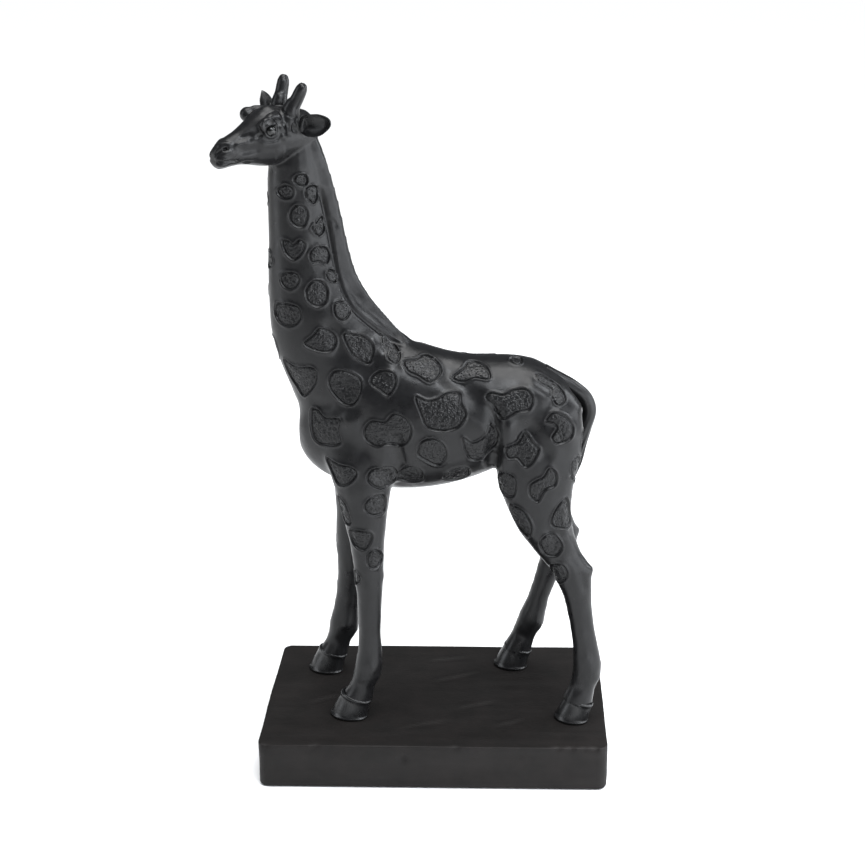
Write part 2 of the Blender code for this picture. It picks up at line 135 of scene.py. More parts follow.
def satin_paint(name, colour, worn, roughness, dents=True):
    """Satin black spray paint over cast resin: thin, a little mottled in tone and shine, with the casting's
    pores showing through. dents adds punch marks where the mesh says spot_floor."""
    made, tree, shader = new_material(name, colour, roughness)
    shader.inputs["Specular IOR Level"].default_value = 0.28
    where = place(tree)
    mottle = add(tree, "ShaderNodeTexNoise", Vector=where, Scale=1 / (9 * MM), Detail=5.0, Roughness=0.6)
    tone = add(tree, "ShaderNodeMapRange", Value=mottle.outputs["Fac"], From_Min=0.35, From_Max=0.7)
    mix = add(tree, "ShaderNodeMix", [("data_type", "RGBA")], _0=tone.outputs[0], _6=linear(colour),
              _7=linear(worn))
    tree.links.new(mix.outputs[2], shader.inputs["Base Color"])
    sheen = add(tree, "ShaderNodeTexNoise", Vector=where, Scale=1 / (4 * MM), Detail=4.0, Roughness=0.65)
    gloss = add(tree, "ShaderNodeMapRange", Value=sheen.outputs["Fac"], From_Min=0.3, From_Max=0.7,
                To_Min=roughness - 0.07, To_Max=roughness + 0.08)
    tree.links.new(gloss.outputs[0], shader.inputs["Roughness"])
    # Pores and swells of the casting, about 0.8 mm and 5 mm across.
    grain = add(tree, "ShaderNodeTexNoise", Vector=where, Scale=1 / (0.8 * MM), Detail=3.0, Roughness=0.6)
    swell = add(tree, "ShaderNodeTexNoise", Vector=where, Scale=1 / (5 * MM), Detail=3.0, Roughness=0.5)
    height = add(tree, "ShaderNodeMath", [("operation", "MULTIPLY_ADD")], _0=swell.outputs["Fac"], _1=4.0,
                 _2=grain.outputs["Fac"])
    if dents:
        # Punch marks, about 1.1 mm apart, only on the floors of the spots.
        punch = add(tree, "ShaderNodeTexVoronoi", [("feature", "F1")], Vector=where, Scale=1 / (1.15 * MM),
                    Randomness=0.9)
        pit = add(tree, "ShaderNodeMapRange", Value=punch.outputs["Distance"], From_Min=0.0, From_Max=0.55)
        floor = add(tree, "ShaderNodeAttribute", [("attribute_name", "spot_floor")])
        deep = add(tree, "ShaderNodeMath", [("operation", "MULTIPLY")], _0=pit.outputs[0],
                   _1=floor.outputs["Fac"])
        height = add(tree, "ShaderNodeMath", [("operation", "MULTIPLY_ADD")], _0=deep.outputs[0], _1=12.0,
                     _2=height.outputs[0])
    bump = add(tree, "ShaderNodeBump", Height=height.outputs[0], Strength=0.5, Distance=0.05 * MM)
    tree.links.new(bump.outputs[0], shader.inputs["Normal"])
    return made


def enamel(name, colour, roughness):
    """Gloss black enamel, brushed on by hand: smooth, with a soft unevenness in its shine."""
    made, tree, shader = new_material(name, colour, roughness)
    where = place(tree)
    brush = add(tree, "ShaderNodeTexNoise", Vector=where, Scale=1 / (2.5 * MM), Detail=3.0)
    gloss = add(tree, "ShaderNodeMapRange", Value=brush.outputs["Fac"], To_Min=roughness - 0.06,
                To_Max=roughness + 0.1)
    tree.links.new(gloss.outputs[0], shader.inputs["Roughness"])
    bump = add(tree, "ShaderNodeBump", Height=brush.outputs["Fac"], Strength=0.2, Distance=0.06 * MM)
    tree.links.new(bump.outputs[0], shader.inputs["Normal"])
    return made


def plinth_paint():
    """Matt black paint brushed along the plinth: faint streaks along X, dusty and slightly brown."""
    made, tree, shader = new_material("matt_black_paint", "#13110f", 0.62)
    shader.inputs["Specular IOR Level"].default_value = 0.2
    where = place(tree)
    # Brush streaks, 40 mm long and 5 mm apart.
    along = add(tree, "ShaderNodeMapping", Vector=where, Scale=[1 / (size * MM) for size in (40, 5, 9)])
    streak = add(tree, "ShaderNodeTexNoise", Vector=along.outputs[0], Scale=1.0, Detail=6.0, Roughness=0.6)
    mottle = add(tree, "ShaderNodeTexNoise", Vector=where, Scale=1 / (14 * MM), Detail=5.0, Roughness=0.6)
    tone = add(tree, "ShaderNodeMapRange", Value=mottle.outputs["Fac"], From_Min=0.35, From_Max=0.7)
    mix = add(tree, "ShaderNodeMix", [("data_type", "RGBA")], _0=tone.outputs[0], _6=linear("#110f0e"),
              _7=linear("#181514"))
    tree.links.new(mix.outputs[2], shader.inputs["Base Color"])
    gloss = add(tree, "ShaderNodeMapRange", Value=streak.outputs["Fac"], From_Min=0.3, From_Max=0.7,
                To_Min=0.5, To_Max=0.68)
    tree.links.new(gloss.outputs[0], shader.inputs["Roughness"])
    grain = add(tree, "ShaderNodeTexNoise", Vector=where, Scale=1 / (0.7 * MM), Detail=3.0)
    height = add(tree, "ShaderNodeMath", [("operation", "MULTIPLY_ADD")], _0=streak.outputs["Fac"], _1=3.0,
                 _2=grain.outputs["Fac"])
    bump = add(tree, "ShaderNodeBump", Height=height.outputs[0], Strength=0.5, Distance=0.06 * MM)
    tree.links.new(bump.outputs[0], shader.inputs["Normal"])
    return made


def drawn_steel():
    """Cold-drawn mild steel rod: fine scratches along its length and a dull metallic grey."""
    made, tree, shader = new_material("drawn_steel", "#a3a3a6", 0.35, Metallic=1.0)
    where = place(tree)
    # Scratches 0.3 mm apart and 12 mm long.
    along = add(tree, "ShaderNodeMapping", Vector=where, Scale=[1 / (size * MM) for size in (0.3, 0.3, 12)])
    lines = add(tree, "ShaderNodeTexNoise", Vector=along.outputs[0], Scale=1.0, Detail=4.0)
    gloss = add(tree, "ShaderNodeMapRange", Value=lines.outputs["Fac"], To_Min=0.25, To_Max=0.5)
    tree.links.new(gloss.outputs[0], shader.inputs["Roughness"])
    return made


def pressed_felt():
    """Black self-adhesive felt: pressed fibres about 0.4 mm apart, with a soft sheen."""
    made, tree, shader = new_material("pressed_felt", "#181818", 0.95)
    shader.inputs["Sheen Weight"].default_value = 0.4
    shader.inputs["Sheen Roughness"].default_value = 0.6
    where = place(tree)
    fibre = add(tree, "ShaderNodeTexNoise", Vector=where, Scale=1 / (0.4 * MM), Detail=6.0, Roughness=0.75,
                Distortion=1.5)
    tone = add(tree, "ShaderNodeMix", [("data_type", "RGBA")], _0=fibre.outputs["Fac"], _6=linear("#101010"),
               _7=linear("#242424"))
    tree.links.new(tone.outputs[2], shader.inputs["Base Color"])
    bump = add(tree, "ShaderNodeBump", Height=fibre.outputs["Fac"], Strength=0.8, Distance=0.3 * MM)
    tree.links.new(bump.outputs[0], shader.inputs["Normal"])
    return made


# ---------------------------------------------------------------- mesh helpers
def new_object(name, bm):
    """An object at the origin from a bmesh in metres, smooth shaded."""
    mesh = bpy.data.meshes.new(name)
    bm.to_mesh(mesh)
    bm.free()
    mesh.shade_smooth()
    made = bpy.data.objects.new(name, mesh)
    bpy.context.scene.collection.objects.link(made)
    return made


def finish_piece(piece, material, slot, *nodes):
    """Gives a piece its paint and its place in the record, and hides the castings that it stands for."""
    piece.data.materials.clear()
    piece.data.materials.append(material)
    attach(piece, "root")
    if nodes:
        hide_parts(*nodes)
    return piece


def settled(made):
    """The object with its modifiers applied."""
    bpy.context.view_layer.update()
    graph = bpy.context.evaluated_depsgraph_get()
    mesh = bpy.data.meshes.new_from_object(made.evaluated_get(graph))
    made.modifiers.clear()
    made.data = mesh
    return made


def curve_through(points, steps, closed=False):
    """Points on a smooth curve through the given ones, steps to each span."""
    table = np.array([list(p) for p in points], float)
    count = len(table)
    spans = count if closed else count - 1
    out = []
    for i in range(spans):
        if closed:
            a, b, c, d = (table[(i + k - 1) % count] for k in range(4))
        else:
            b, c = table[i], table[i + 1]
            a = table[i - 1] if i else 2 * b - c
            d = table[i + 2] if i + 2 < count else 2 * c - b
        for step in range(steps):
            t = step / steps
            out.append(0.5 * (2 * b + (c - a) * t + (2 * a - 5 * b + 4 * c - d) * t * t
                              + (3 * b - a - 3 * c + d) * t ** 3))
    if not closed:
        out.append(table[-1])
    return np.array(out)


def smoothstep(low_end, high_end, value):
    t = np.clip((value - low_end) / (high_end - low_end), 0, 1)
    return t * t * (3 - 2 * t)


def loft(rings, sides, shape=lambda verts, i: None):
    """A closed bmesh in metres over rings of (half depth, half width, matrix) in millimetres. shape may work
    the unit circle of ring i first."""
    bm = bmesh.new()
    loops = []
    for i, (deep, wide, matrix) in enumerate(rings):
        verts = bmesh.ops.create_circle(bm, segments=sides, radius=1.0)["verts"]
        shape(verts, i)
        bmesh.ops.transform(bm, matrix=matrix @ Matrix.Diagonal((deep, wide, 1, 1)), verts=verts)
        loops.append((verts, list({e for v in verts for e in v.link_edges})))
    for (_, first), (_, second) in zip(loops, loops[1:]):
        bmesh.ops.bridge_loops(bm, edges=first + second)
    for verts, _ in (loops[0], loops[-1]):
        centre = bmesh.ops.contextual_create(bm, geom=verts)["faces"]
        bmesh.ops.poke(bm, faces=centre)
    bmesh.ops.recalc_face_normals(bm, faces=bm.faces)
    bmesh.ops.scale(bm, vec=(MM, MM, MM), verts=bm.verts)
    return bm


# ---------------------------------------------------------------- the skin, as arrays that strokes can push
class Skin:
    """The painted surface of the figure while it is being worked: places and normals in millimetres."""

    def __init__(self, mesh):
        self.mesh = mesh
        self.read()

    def read(self):
        count = len(self.mesh.vertices)
        flat = np.empty(count * 3, np.float32)
        self.mesh.vertices.foreach_get("co", flat)
        self.at = flat.reshape(-1, 3).astype(float) / MM
        self.mesh.vertex_normals.foreach_get("vector", flat)
        self.normal = flat.reshape(-1, 3).astype(float)
        ends = np.empty(len(self.mesh.edges) * 2, np.int32)
        self.mesh.edges.foreach_get("vertices", ends)
        self.ends = ends.reshape(-1, 2)

    def write(self):
        """Puts the places into the mesh and takes its new normals."""
        self.mesh.vertices.foreach_set("co", (self.at * MM).astype(np.float32).ravel())
        self.mesh.update()
        self.read()

    def relax(self, passes, weight=1.0, keep_size=False):
        """Evens the surface out: each point moves towards the mean of its neighbours. keep_size pushes back
        after every pass, so that thin legs don't waste away."""
        count = len(self.at)
        a, b = self.ends.T
        degree = np.maximum(np.bincount(a, minlength=count) + np.bincount(b, minlength=count), 1)
        weight = np.broadcast_to(weight, count)[:, None]
        for turn in range(passes * 2 if keep_size else passes):
            share = -0.53 if keep_size and turn % 2 else 0.5
            total = np.stack([
                np.bincount(a, self.at[b, k], count) + np.bincount(b, self.at[a, k], count) for k in range(3)
            ], 1)
            self.at += share * weight * (total / degree[:, None] - self.at)

    def tree(self):
        faces = [tuple(f.vertices) for f in self.mesh.polygons]
        return BVHTree.FromPolygons([tuple(p) for p in self.at], faces)

    def near(self, path, reach):
        """The points within reach of a polyline, their distances to it, and how far along it each lies."""
        path = np.array([list(p) for p in path], float)
        inside = ((self.at > path.min(0) - reach) & (self.at < path.max(0) + reach)).all(1)
        which = np.where(inside)[0]
        places = self.at[which]
        best = np.full(len(which), np.inf)
        along = np.full(len(which), 0.5)
        if len(path) == 1:
            best = np.linalg.norm(places - path[0], axis=1)
        for i, (start, end) in enumerate(zip(path, path[1:])):
            span = end - start
            t = np.clip(((places - start) @ span) / max(span @ span, 1e-9), 0, 1)
            far = np.linalg.norm(places - start - t[:, None] * span, axis=1)
            closer = far < best
            best[closer] = far[closer]
            along[closer] = (i + t[closer]) / (len(path) - 1)
        within = best < reach
        return which[within], best[within], along[within]

    def stroke(self, path, reach, height, taper=0.25):
        """Raises, or with a negative height sinks, a band along a path. taper is the share of each end that
        fades out."""
        which, far, along = self.near(path, reach)
        push = height * (1 - (far / reach) ** 2) ** 2
        if taper and len(path) > 1:
            push = push * smoothstep(0, taper, np.minimum(along, 1 - along))
        self.at[which] += self.normal[which] * push[:, None]


def casting_copy(*names):
    bm = bmesh.new()
    for name in names:
        bm.from_mesh(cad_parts[name].data)
    bmesh.ops.remove_doubles(bm, verts=bm.verts, dist=0.01 * MM)
    return bm


def cut_away(bm, point, normal):
    """Removes what lies beyond a plane, on the side that its normal points to, and closes the cut."""
    everything = bm.verts[:] + bm.edges[:] + bm.faces[:]
    cut = bmesh.ops.bisect_plane(bm, geom=everything, plane_co=Vector(point) * MM, plane_no=Vector(normal),
                                 clear_outer=True)["geom_cut"]
    bmesh.ops.holes_fill(bm, edges=[g for g in cut if isinstance(g, bmesh.types.BMEdge)])


def add_stub(bm, name, point, normal):
    """Adds the root of a casting, to fill the socket that it is bonded into."""
    root = casting_copy(name)
    cut_away(root, point, normal)
    add_solid(bm, root)


def voxel_skin(name, bm, size):
    """One even skin over everything in the bmesh, without its inner hollows."""
    skin = new_object(name, bm)
    voxels = skin.modifiers.new("voxels", "REMESH")
    voxels.mode = "VOXEL"
    voxels.voxel_size = size * MM
    settled(skin)
    keep_largest(skin.data)
    return skin


def keep_largest(mesh):
    """Removes every shell of the mesh but the largest."""
    bm = bmesh.new()
    bm.from_mesh(mesh)
    shells = []
    waiting = set(bm.verts)
    while waiting:
        front = [waiting.pop()]
        shell = set(front)
        while front:
            vert = front.pop()
            for edge in vert.link_edges:
                other = edge.other_vert(vert)
                if other in waiting:
                    waiting.discard(other)
                    shell.add(other)
                    front.append(other)
        shells.append(shell)
    shells.sort(key=len)
    for shell in shells[:-1]:
        bmesh.ops.delete(bm, geom=list(shell), context="VERTS")
    bm.to_mesh(mesh)
    bm.free()


def body_bmesh():
    """The castings below the skull, with the skull itself to carry the neck's line into it."""
    bm = casting_copy(
        "trunk", "neck", "head", "mane", "left_eye", "right_eye", "neck_rod",
        *LEGS, *(leg.replace("leg", "hoof") for leg in LEGS), *(leg + "_rod" for leg in LEGS),
    )
    for side, word in SIDES:
        add_stub(bm, word + "_ear", on_head(0, side * 10.5, 0), HEAD.to_3x3() @ Vector((0, side, 0)))
        add_stub(bm, word + "_horn", on_head(0, 0, 12.5), HEAD.to_3x3() @ Vector((0, 0, 1)))
    add_stub(bm, "tail", (68, 0, 0), (1, 0, 0))
    cut_away(bm, (0, 0, PLINTH_TOP + 1.5), (0, 0, -1))
    return bm


def head_bmesh():
    """The head with its horns and the top of the neck."""
    bm = casting_copy("head", "left_horn", "right_horn", "left_eye", "right_eye", "neck", "mane", "neck_rod")
    for side, word in SIDES:
        add_stub(bm, word + "_ear", on_head(0, side * 12.5, 0), HEAD.to_3x3() @ Vector((0, side, 0)))
        for lump in HEAD_LUMPS:
            middles = [on_head(forward, side * across, up) for forward, across, up, _ in lump]
            add_solid(bm, stalk(middles, [radius for *_, radius in lump]))
    crest = [Vector((x, MIDDLE_Y, z)) for x, z, _ in NAPE]
    add_solid(bm, stalk(crest, [radius for *_, radius in NAPE]))
    cut_away(bm, (0, 0, HEAD_JOINT - 14), (0, 0, -1))
    return bm


# Lumps of one side of the skull, as stalks of (forward, side, up, radius): horn root and brow.
HEAD_LUMPS = (
    ((5.2, 4.8, 7.5, 5.9), (4.8, 5.1, 11.5, 5.1), (4.3, 5.5, 14.5, 4.2), (3.4, 6.2, 18.5, 3.1)),
    ((12, 5.6, 11.4, 2.6), (16.5, 7.6, 11.8, 2.2), (20.4, 8.6, 10.6, 1.8), (22.6, 8.2, 8.6, 1.4)),
)
# The crest that carries the mane up to the poll: x, z, radius.
NAPE = ((-53.6, 304, 4.2), (-55, 312, 4.5), (-57, 319, 4.8), (-59.6, 325.5, 4.8), (-62, 331, 4.0))


def stalk(middles, radii):
    """A round closed stalk through these points, in metres."""
    rings = []
    for i, (middle, radius) in enumerate(zip(middles, radii)):
        axis = middles[min(i + 1, len(middles) - 1)] - middles[max(i - 1, 0)]
        turn = axis.to_track_quat("Z", "Y").to_matrix().to_4x4()
        rings.append((radius, radius, Matrix.Translation(middle) @ turn))
    return loft(rings, 20)


def add_solid(bm, solid):
    part = bpy.data.meshes.new("solid")
    solid.to_mesh(part)
    solid.free()
    bm.from_mesh(part)
    bpy.data.meshes.remove(part)


# ---------------------------------------------------------------- strokes on the body
def flank_path(tree, points, side):
    """Points (x, z) laid on the left (side 1) or right flank, from outside."""
    path = []
    for x, z in points:
        hit = tree.ray_cast(Vector((x, -90 * side, z)), Vector((0, side, 0)))[0]
        if hit:
            path.append(tuple(hit))
    return path


# Muscles and folds of one flank: the points (x, z) of each, its reach and its height.
FLANK = (
    ([(-38, 227), (-30, 227), (-22, 218), (-15, 207)], 6.5, 2.0),      # ridge of the shoulder blade
    ([(-46, 217), (-36, 209), (-31, 196)], 6, 0.7),                      # upper arm
    ([(-40.5, 190)], 7, 1.6),                                              # point of the shoulder
    ([(-54, 240), (-46, 229), (-46, 216)], 6.5, -1.3),                     # hollow between neck and shoulder
    ([(-14, 226), (-24, 236), (-35, 246)], 5, -0.9),                       # hollow under the withers
    ([(-62, 197), (-54, 196), (-48, 199)], 5, -0.9),                       # fold over the breast
    ([(-33, 197), (-33, 182), (-35, 168)], 5, -0.7),                       # hollow before the elbow column
    ([(-25.5, 181), (-25, 172), (-25.5, 163)], 5.5, 2.1),                  # elbow column
    ([(-17.2, 186), (-16.8, 175), (-14.5, 163)], 4.2, -3.0),               # fold behind the elbow
    ([(-20, 158.5)], 5.5, 2.8),                                              # elbow
    ([(-26, 153), (-32, 147)], 3.5, -0.6),                                 # under the elbow
    ([(-46, 170), (-42, 158), (-41, 146)], 4, 0.6),                        # fore edge of the upper leg
    ([(-2, 220), (13, 208), (25, 198), (33, 187)], 8, -1.5),               # hollow before the loin
    ([(29.5, 203), (31.5, 191), (31, 178), (29.5, 164), (29, 152)], 5.0, -3.6),  # fold of the flank
    ([(37, 195), (38, 178), (35.5, 160)], 5.5, 2.0),                       # front of the thigh
    ([(44, 209), (52, 204), (60, 198)], 6.5, 1.5),                         # hip
    ([(58, 196), (66, 190), (70, 176)], 6.5, 1.4),                         # seat
    ([(44, 190), (53, 181), (59, 168)], 6, -1.2),                          # hollow across the thigh
    ([(38, 150), (47, 137), (56, 126)], 5, 0.9),                           # front of the gaskin
    ([(66, 150), (66.5, 134), (71, 120)], 3.4, 1.2),                       # hamstring
    ([(58, 140), (61, 128), (66, 117)], 3.6, -0.8),                        # groove before the hamstring
)

LEG_SLANT = 42       # no part of a leg stands further than this ahead of or behind its hoof


def leg_middle(skin, hoof, z):
    """Middle and half sizes of a lower leg at a height, found from the skin itself."""
    lo, hi = low(hoof), high(hoof)
    x, y, height = skin.at.T
    side = (y < MIDDLE_Y) if lo[1] < MIDDLE_Y else (y > MIDDLE_Y)
    fore = (x < 0) if lo[0] < 0 else (x > 0)
    ring = skin.at[side & fore & (abs(height - z) < 1.2) & (abs(x - (lo[0] + hi[0]) / 2) < LEG_SLANT)]
    bottom, top = ring.min(0), ring.max(0)
    return (bottom + top) / 2, (top - bottom) / 2


def leg_strokes(skin, leg):
    """Knee or hock, tendons, fetlock and pastern of one leg."""
    hoof = leg.replace("leg", "hoof")

    def at(z, forward, outward):
        """A place on the leg, as shares of its half sizes forwards and outwards from its middle."""
        middle, half = leg_middle(skin, hoof, z)
        side = -1 if middle[1] < MIDDLE_Y else 1
        return (middle[0] - forward * half[0], middle[1] + outward * half[1] * side, z)

    for outward in (-1, 1):
        # The tendons run down the back of the cannon bone, with a groove in front of them.
        skin.stroke([at(z, -0.25, outward * 0.95) for z in (90, 78, 66, 58)], 2.2, -0.45)
        skin.stroke([at(z, -0.8, outward * 0.45) for z in (92, 78, 66, 56)], 2.2, 0.35)
        # Knuckle, ergots and pastern.
        skin.stroke([at(54, -0.35, outward * 0.95)], 4, 0.5)
        skin.stroke([at(49, -0.85, outward * 0.6)], 3, 0.8)
        skin.stroke([at(46.5, -0.2, outward), at(45.5, 0.7, outward * 0.7)], 2.4, -0.5, 0.3)
    skin.stroke([at(50, -0.95, 0)], 2.6, 0.6)
    skin.stroke([at(z, 0.95, 0) for z in (95, 80, 66)], 3, 0.3)
    skin.stroke([at(44, -0.9, 0), at(41, -0.9, 0)], 3, -0.6, 0.2)
    if "hind" in leg:
        skin.stroke([at(112, -1.0, 0.3), at(107, -1.0, 0.2)], 4.5, 1.0)        # point of the hock
        skin.stroke([at(112, -0.45, 0.95), at(105, -0.55, 0.9), at(98, -0.6, 0.8)], 2.0, -1.1)
        skin.stroke([at(111, -0.05, 1), at(103, -0.2, 1), at(95, -0.25, 1)], 2.2, 0.55)
        skin.stroke([at(101, 0.9, 0.2)], 5, 0.5)
    else:
        skin.stroke([at(104, 0.9, 0.1), at(97, 0.95, 0)], 6, 0.55)              # knee
        skin.stroke([at(101, 0.1, 1)], 4, 0.35)
        skin.stroke([at(105, -0.9, 0.1)], 3.2, 0.6)
        skin.stroke([at(132, 0.1, 0.95), at(120, 0.0, 0.95), at(110, 0.1, 0.95)], 3, -0.35)


# ---------------------------------------------------------------- spots
def oval(width, height, turn=0.0):
    """A hand-cut oval: eight points, no two spans quite alike."""
    points = []
    for k in range(8):
        angle = k * math.tau / 8
        wobble = 1 + 0.07 * math.sin(2.3 * k + width * 3.1 + height)
        x, z = width / 2 * wobble * math.cos(angle), height / 2 * wobble * math.sin(angle)
        c, s = math.cos(math.radians(turn)), math.sin(math.radians(turn))
        points.append((x * c - z * s, x * s + z * c))
    return points


# Each spot of the left side: its middle (x, z), and its outline around that.
SPOTS = (
    # neck, from the jaw down
    (-62, 307, oval(6.2, 5.4)),
    (-69.7, 301.5, oval(7.7, 6.2)),
    (-57, 300, [(-2.8, 1.8), (-0.7, 4), (2.4, 3), (2.4, -1), (0.7, -4.4), (-1, -3), (-2.5, -1.8)]),
    (-63.3, 290, [(-4, 1.5), (-1.5, 5), (2.5, 4.5), (4, 0.5), (2.5, -4.5), (-1, -5), (-4, -2.5)]),
    (-54.2, 284.5, [(-2.8, -1), (-0.8, 2), (1.2, 4.5), (2.6, 1.5), (1.8, -3), (-0.5, -4.5)]),
    (-66.7, 274, [(-5.5, 3.5), (-2.5, 4), (0, 2), (3, 4.5), (5.5, 2.5), (4, -2), (0.5, -5), (-3.5, -2.5)]),
    (-54, 270, [(-4.5, 1.5), (-1.5, 4.5), (3, 4), (4.5, 0), (2.5, -4), (-0.5, -2.5), (-3.5, -3)]),
    (-48.6, 260, oval(4.6, 6.2, 20)),
    (-69.2, 258.5, [(-4.5, 1.5), (-1, 4), (3.5, 3.5), (4.5, -0.5), (1.5, -4), (-3, -3)]),
    (-55.7, 252.5, [(-5, 2), (-2, 6), (3, 5.5), (5, 1), (4, -4.5), (0, -6.5), (-4.5, -3.5)]),
    (-44, 243.5, oval(7.5, 9.5, 10)),
    (-71, 241.5, [(-6, 4.5), (0, 5.5), (5.5, 4), (6.5, -1.5), (3, -5.5), (-3, -5), (-6.5, -1)]),
    # shoulder and breast
    (-54.6, 229.5, [(-8, -2), (-3.5, 2.5), (0, 6), (6, 3.5), (7.5, -1.5), (4.5, -5.5), (-2.5, -5)]),
    (-35.3, 225.5, [(-8, 6.5), (-2.5, 6.5), (2.5, 5), (6.5, 0), (4.5, -8), (-0.5, -6), (-4.5, -2.5)]),
    (-20.3, 223, [(-4.5, 5), (0.5, 3.5), (4, -2), (2.5, -6.5), (-1.5, -5), (-1.5, -1.5), (-4, 1)]),
    (-65.7, 209, [(-8.5, 6.5), (-2, 5), (6.5, 6), (7.5, -1), (1.5, -9), (-2.5, -5), (-6.5, 0)]),
    (-43, 206, [(-8, 1), (-5.5, 8), (0.5, 8.5), (7.5, 4.5), (8, -2), (4, -8.5), (-2.5, -7)]),
    (-23.4, 209.5, [(-6.5, 2), (-2, 6), (4.5, 4.5), (5.5, -1), (2, -6.5), (-2.5, -3.5), (-6, -1)]),
    (-53.9, 184.5, [(-7.5, 7), (-4.5, 9.5), (0.5, 5.5), (8, 5.5), (7, -0.5), (7.5, -7.5), (-0.5, -9),
                    (-6, -6)]),
    (-22, 186, [(-11.5, 0), (-7.5, 4.5), (-1, 4.5), (3, 8.5), (9, 6.5), (12, 0.5), (10, -5.5), (5.5, -8.5),
                (1, -7), (-6, -8), (-11, -5.5)]),
    (-45, 162.5, [(-9, 6.5), (-3, 5), (4.5, 3.5), (6, -0.5), (2.5, -5), (-2.5, -6), (-6, 0)]),
    (-25.1, 160.5, oval(12.5, 11.5)),
    # back and barrel
    (-4.9, 216, [(-9, 2), (-3.5, 3.5), (1.5, 7), (7, 4), (9.5, -1.5), (4.5, -7.5), (-1.5, -5), (-6.5, -3)]),
    (19.7, 213, [(-9.5, -3.5), (-4.5, 1), (-2, 5.5), (2.5, 5.5), (7, 2), (8.5, -4), (1.5, -3.5), (-4, -5)]),
    (5.2, 195.5, [(-13, 8), (-7.5, 6), (-2.5, 7), (2.5, 10), (8.5, 10), (9.5, 4.5), (11.5, -1), (8, -7.5),
                  (0, -9.5), (-7.5, -7.5), (-10.5, -0.5)]),
    (0.1, 174.5, [(-5.5, 5), (-0.5, 7), (4.5, 5), (7, 0), (5.5, -5.5), (2, -7), (-3.5, -4), (-7, -1)]),
    (23.9, 178, [(-8.5, 4), (-4, 1.5), (1.5, 3.5), (5.5, 8.5), (8.5, 5), (7.5, -2.5), (1.5, -7.5), (-5, -7)]),
    (-10.9, 160, oval(12.5, 9.5)),
    (12.2, 159.5, oval(13, 9, 8)),
    # haunch
    (41.5, 216, oval(6, 5.5)),
    (58.9, 204.5, [(-7, 7), (-1, 5.5), (4, 2), (7, -3.5), (4, -7), (1, -4), (0, 0.5), (-5.5, 2.5)]),
    (38.1, 199.5, [(-11.5, 3), (-9, 5.5), (-3, 4.5), (2, 7), (8, 7.5), (11.5, 3), (10, -3), (4, -4.5),
                   (-2.5, -8), (-5.5, -6), (-8, -1)]),
    (63.9, 187, [(-7.5, 4), (-4, 8), (2, 6.5), (6, 0.5), (4.5, -5.5), (-2, -8), (-4.5, -4.5), (-2, 0),
                 (-3.5, 2.5)]),
    (44.7, 176, [(-8, 0.5), (-2, 4), (1, 9), (5, 4), (8, 0.5), (5, -6.5), (1.5, -8.5), (-2.5, -4.5),
                 (-6.5, -4.5)]),
    (54.9, 158, [(-6, 0), (-2.5, 3), (0.5, 4.5), (3.5, 9), (7, 6), (6.5, 0), (1.5, -2.5), (-2, -8.5),
                 (-6, -5.5)]),
    (36.9, 156.5, oval(9.5, 13)),
    (72.3, 164, oval(6, 12.5)),
    (44.1, 138, [(-5, 5.5), (0, 5), (5, -1.5), (4.5, -6.5), (-0.5, -4.5), (-4, 0)]),
    (65.7, 142, [(-5.5, -4), (-3, 3.5), (1.5, 8), (4, 2), (4.5, -7), (-3, -7.5)]),
    (59.9, 125.5, [(-5.5, 1), (-3, 5), (1.5, 5.5), (5.5, -1), (2.5, -6), (-3, -5)]),
    (63.8, 109, oval(7.5, 10)),
    # fore leg
    (-28.8, 146, [(-5, -1), (-2.5, 4), (4, 5), (5.5, 0), (4, -5), (-2, -5)]),
    (-44.6, 142, [(-3.5, 6), (0.5, 4), (3.5, -5), (-0.5, -6), (-3, -1)]),
    (-36.7, 127.5, [(-5.5, 3.5), (-1.5, 5), (5, 3.5), (5, -1), (2, -5), (-3.5, -3)]),
    (-29.4, 116.5, oval(7.5, 10)),
    (-39.4, 105.5, oval(4.5, 6.5)),
)

# Spots on the front of the neck and breast (y from the middle, z), and over the seat (y, z).
FRONT_SPOTS = ((2, 296, oval(8, 6)), (-4, 267, oval(7, 8)), (4, 250, oval(8, 7)), (-2, 222, oval(9, 10)),
               (5, 197, oval(10, 9)))
REAR_SPOTS = ((-13, 176, oval(9, 12)), (12, 190, oval(8, 9)), (15, 165, oval(8, 10)))

# Depths and heights of a spot: raised rim, incised line, sunken middle, punch marks.
LIP, GROOVE, FLOOR, PITS = 0.38, 1.0, 0.22, 0.55


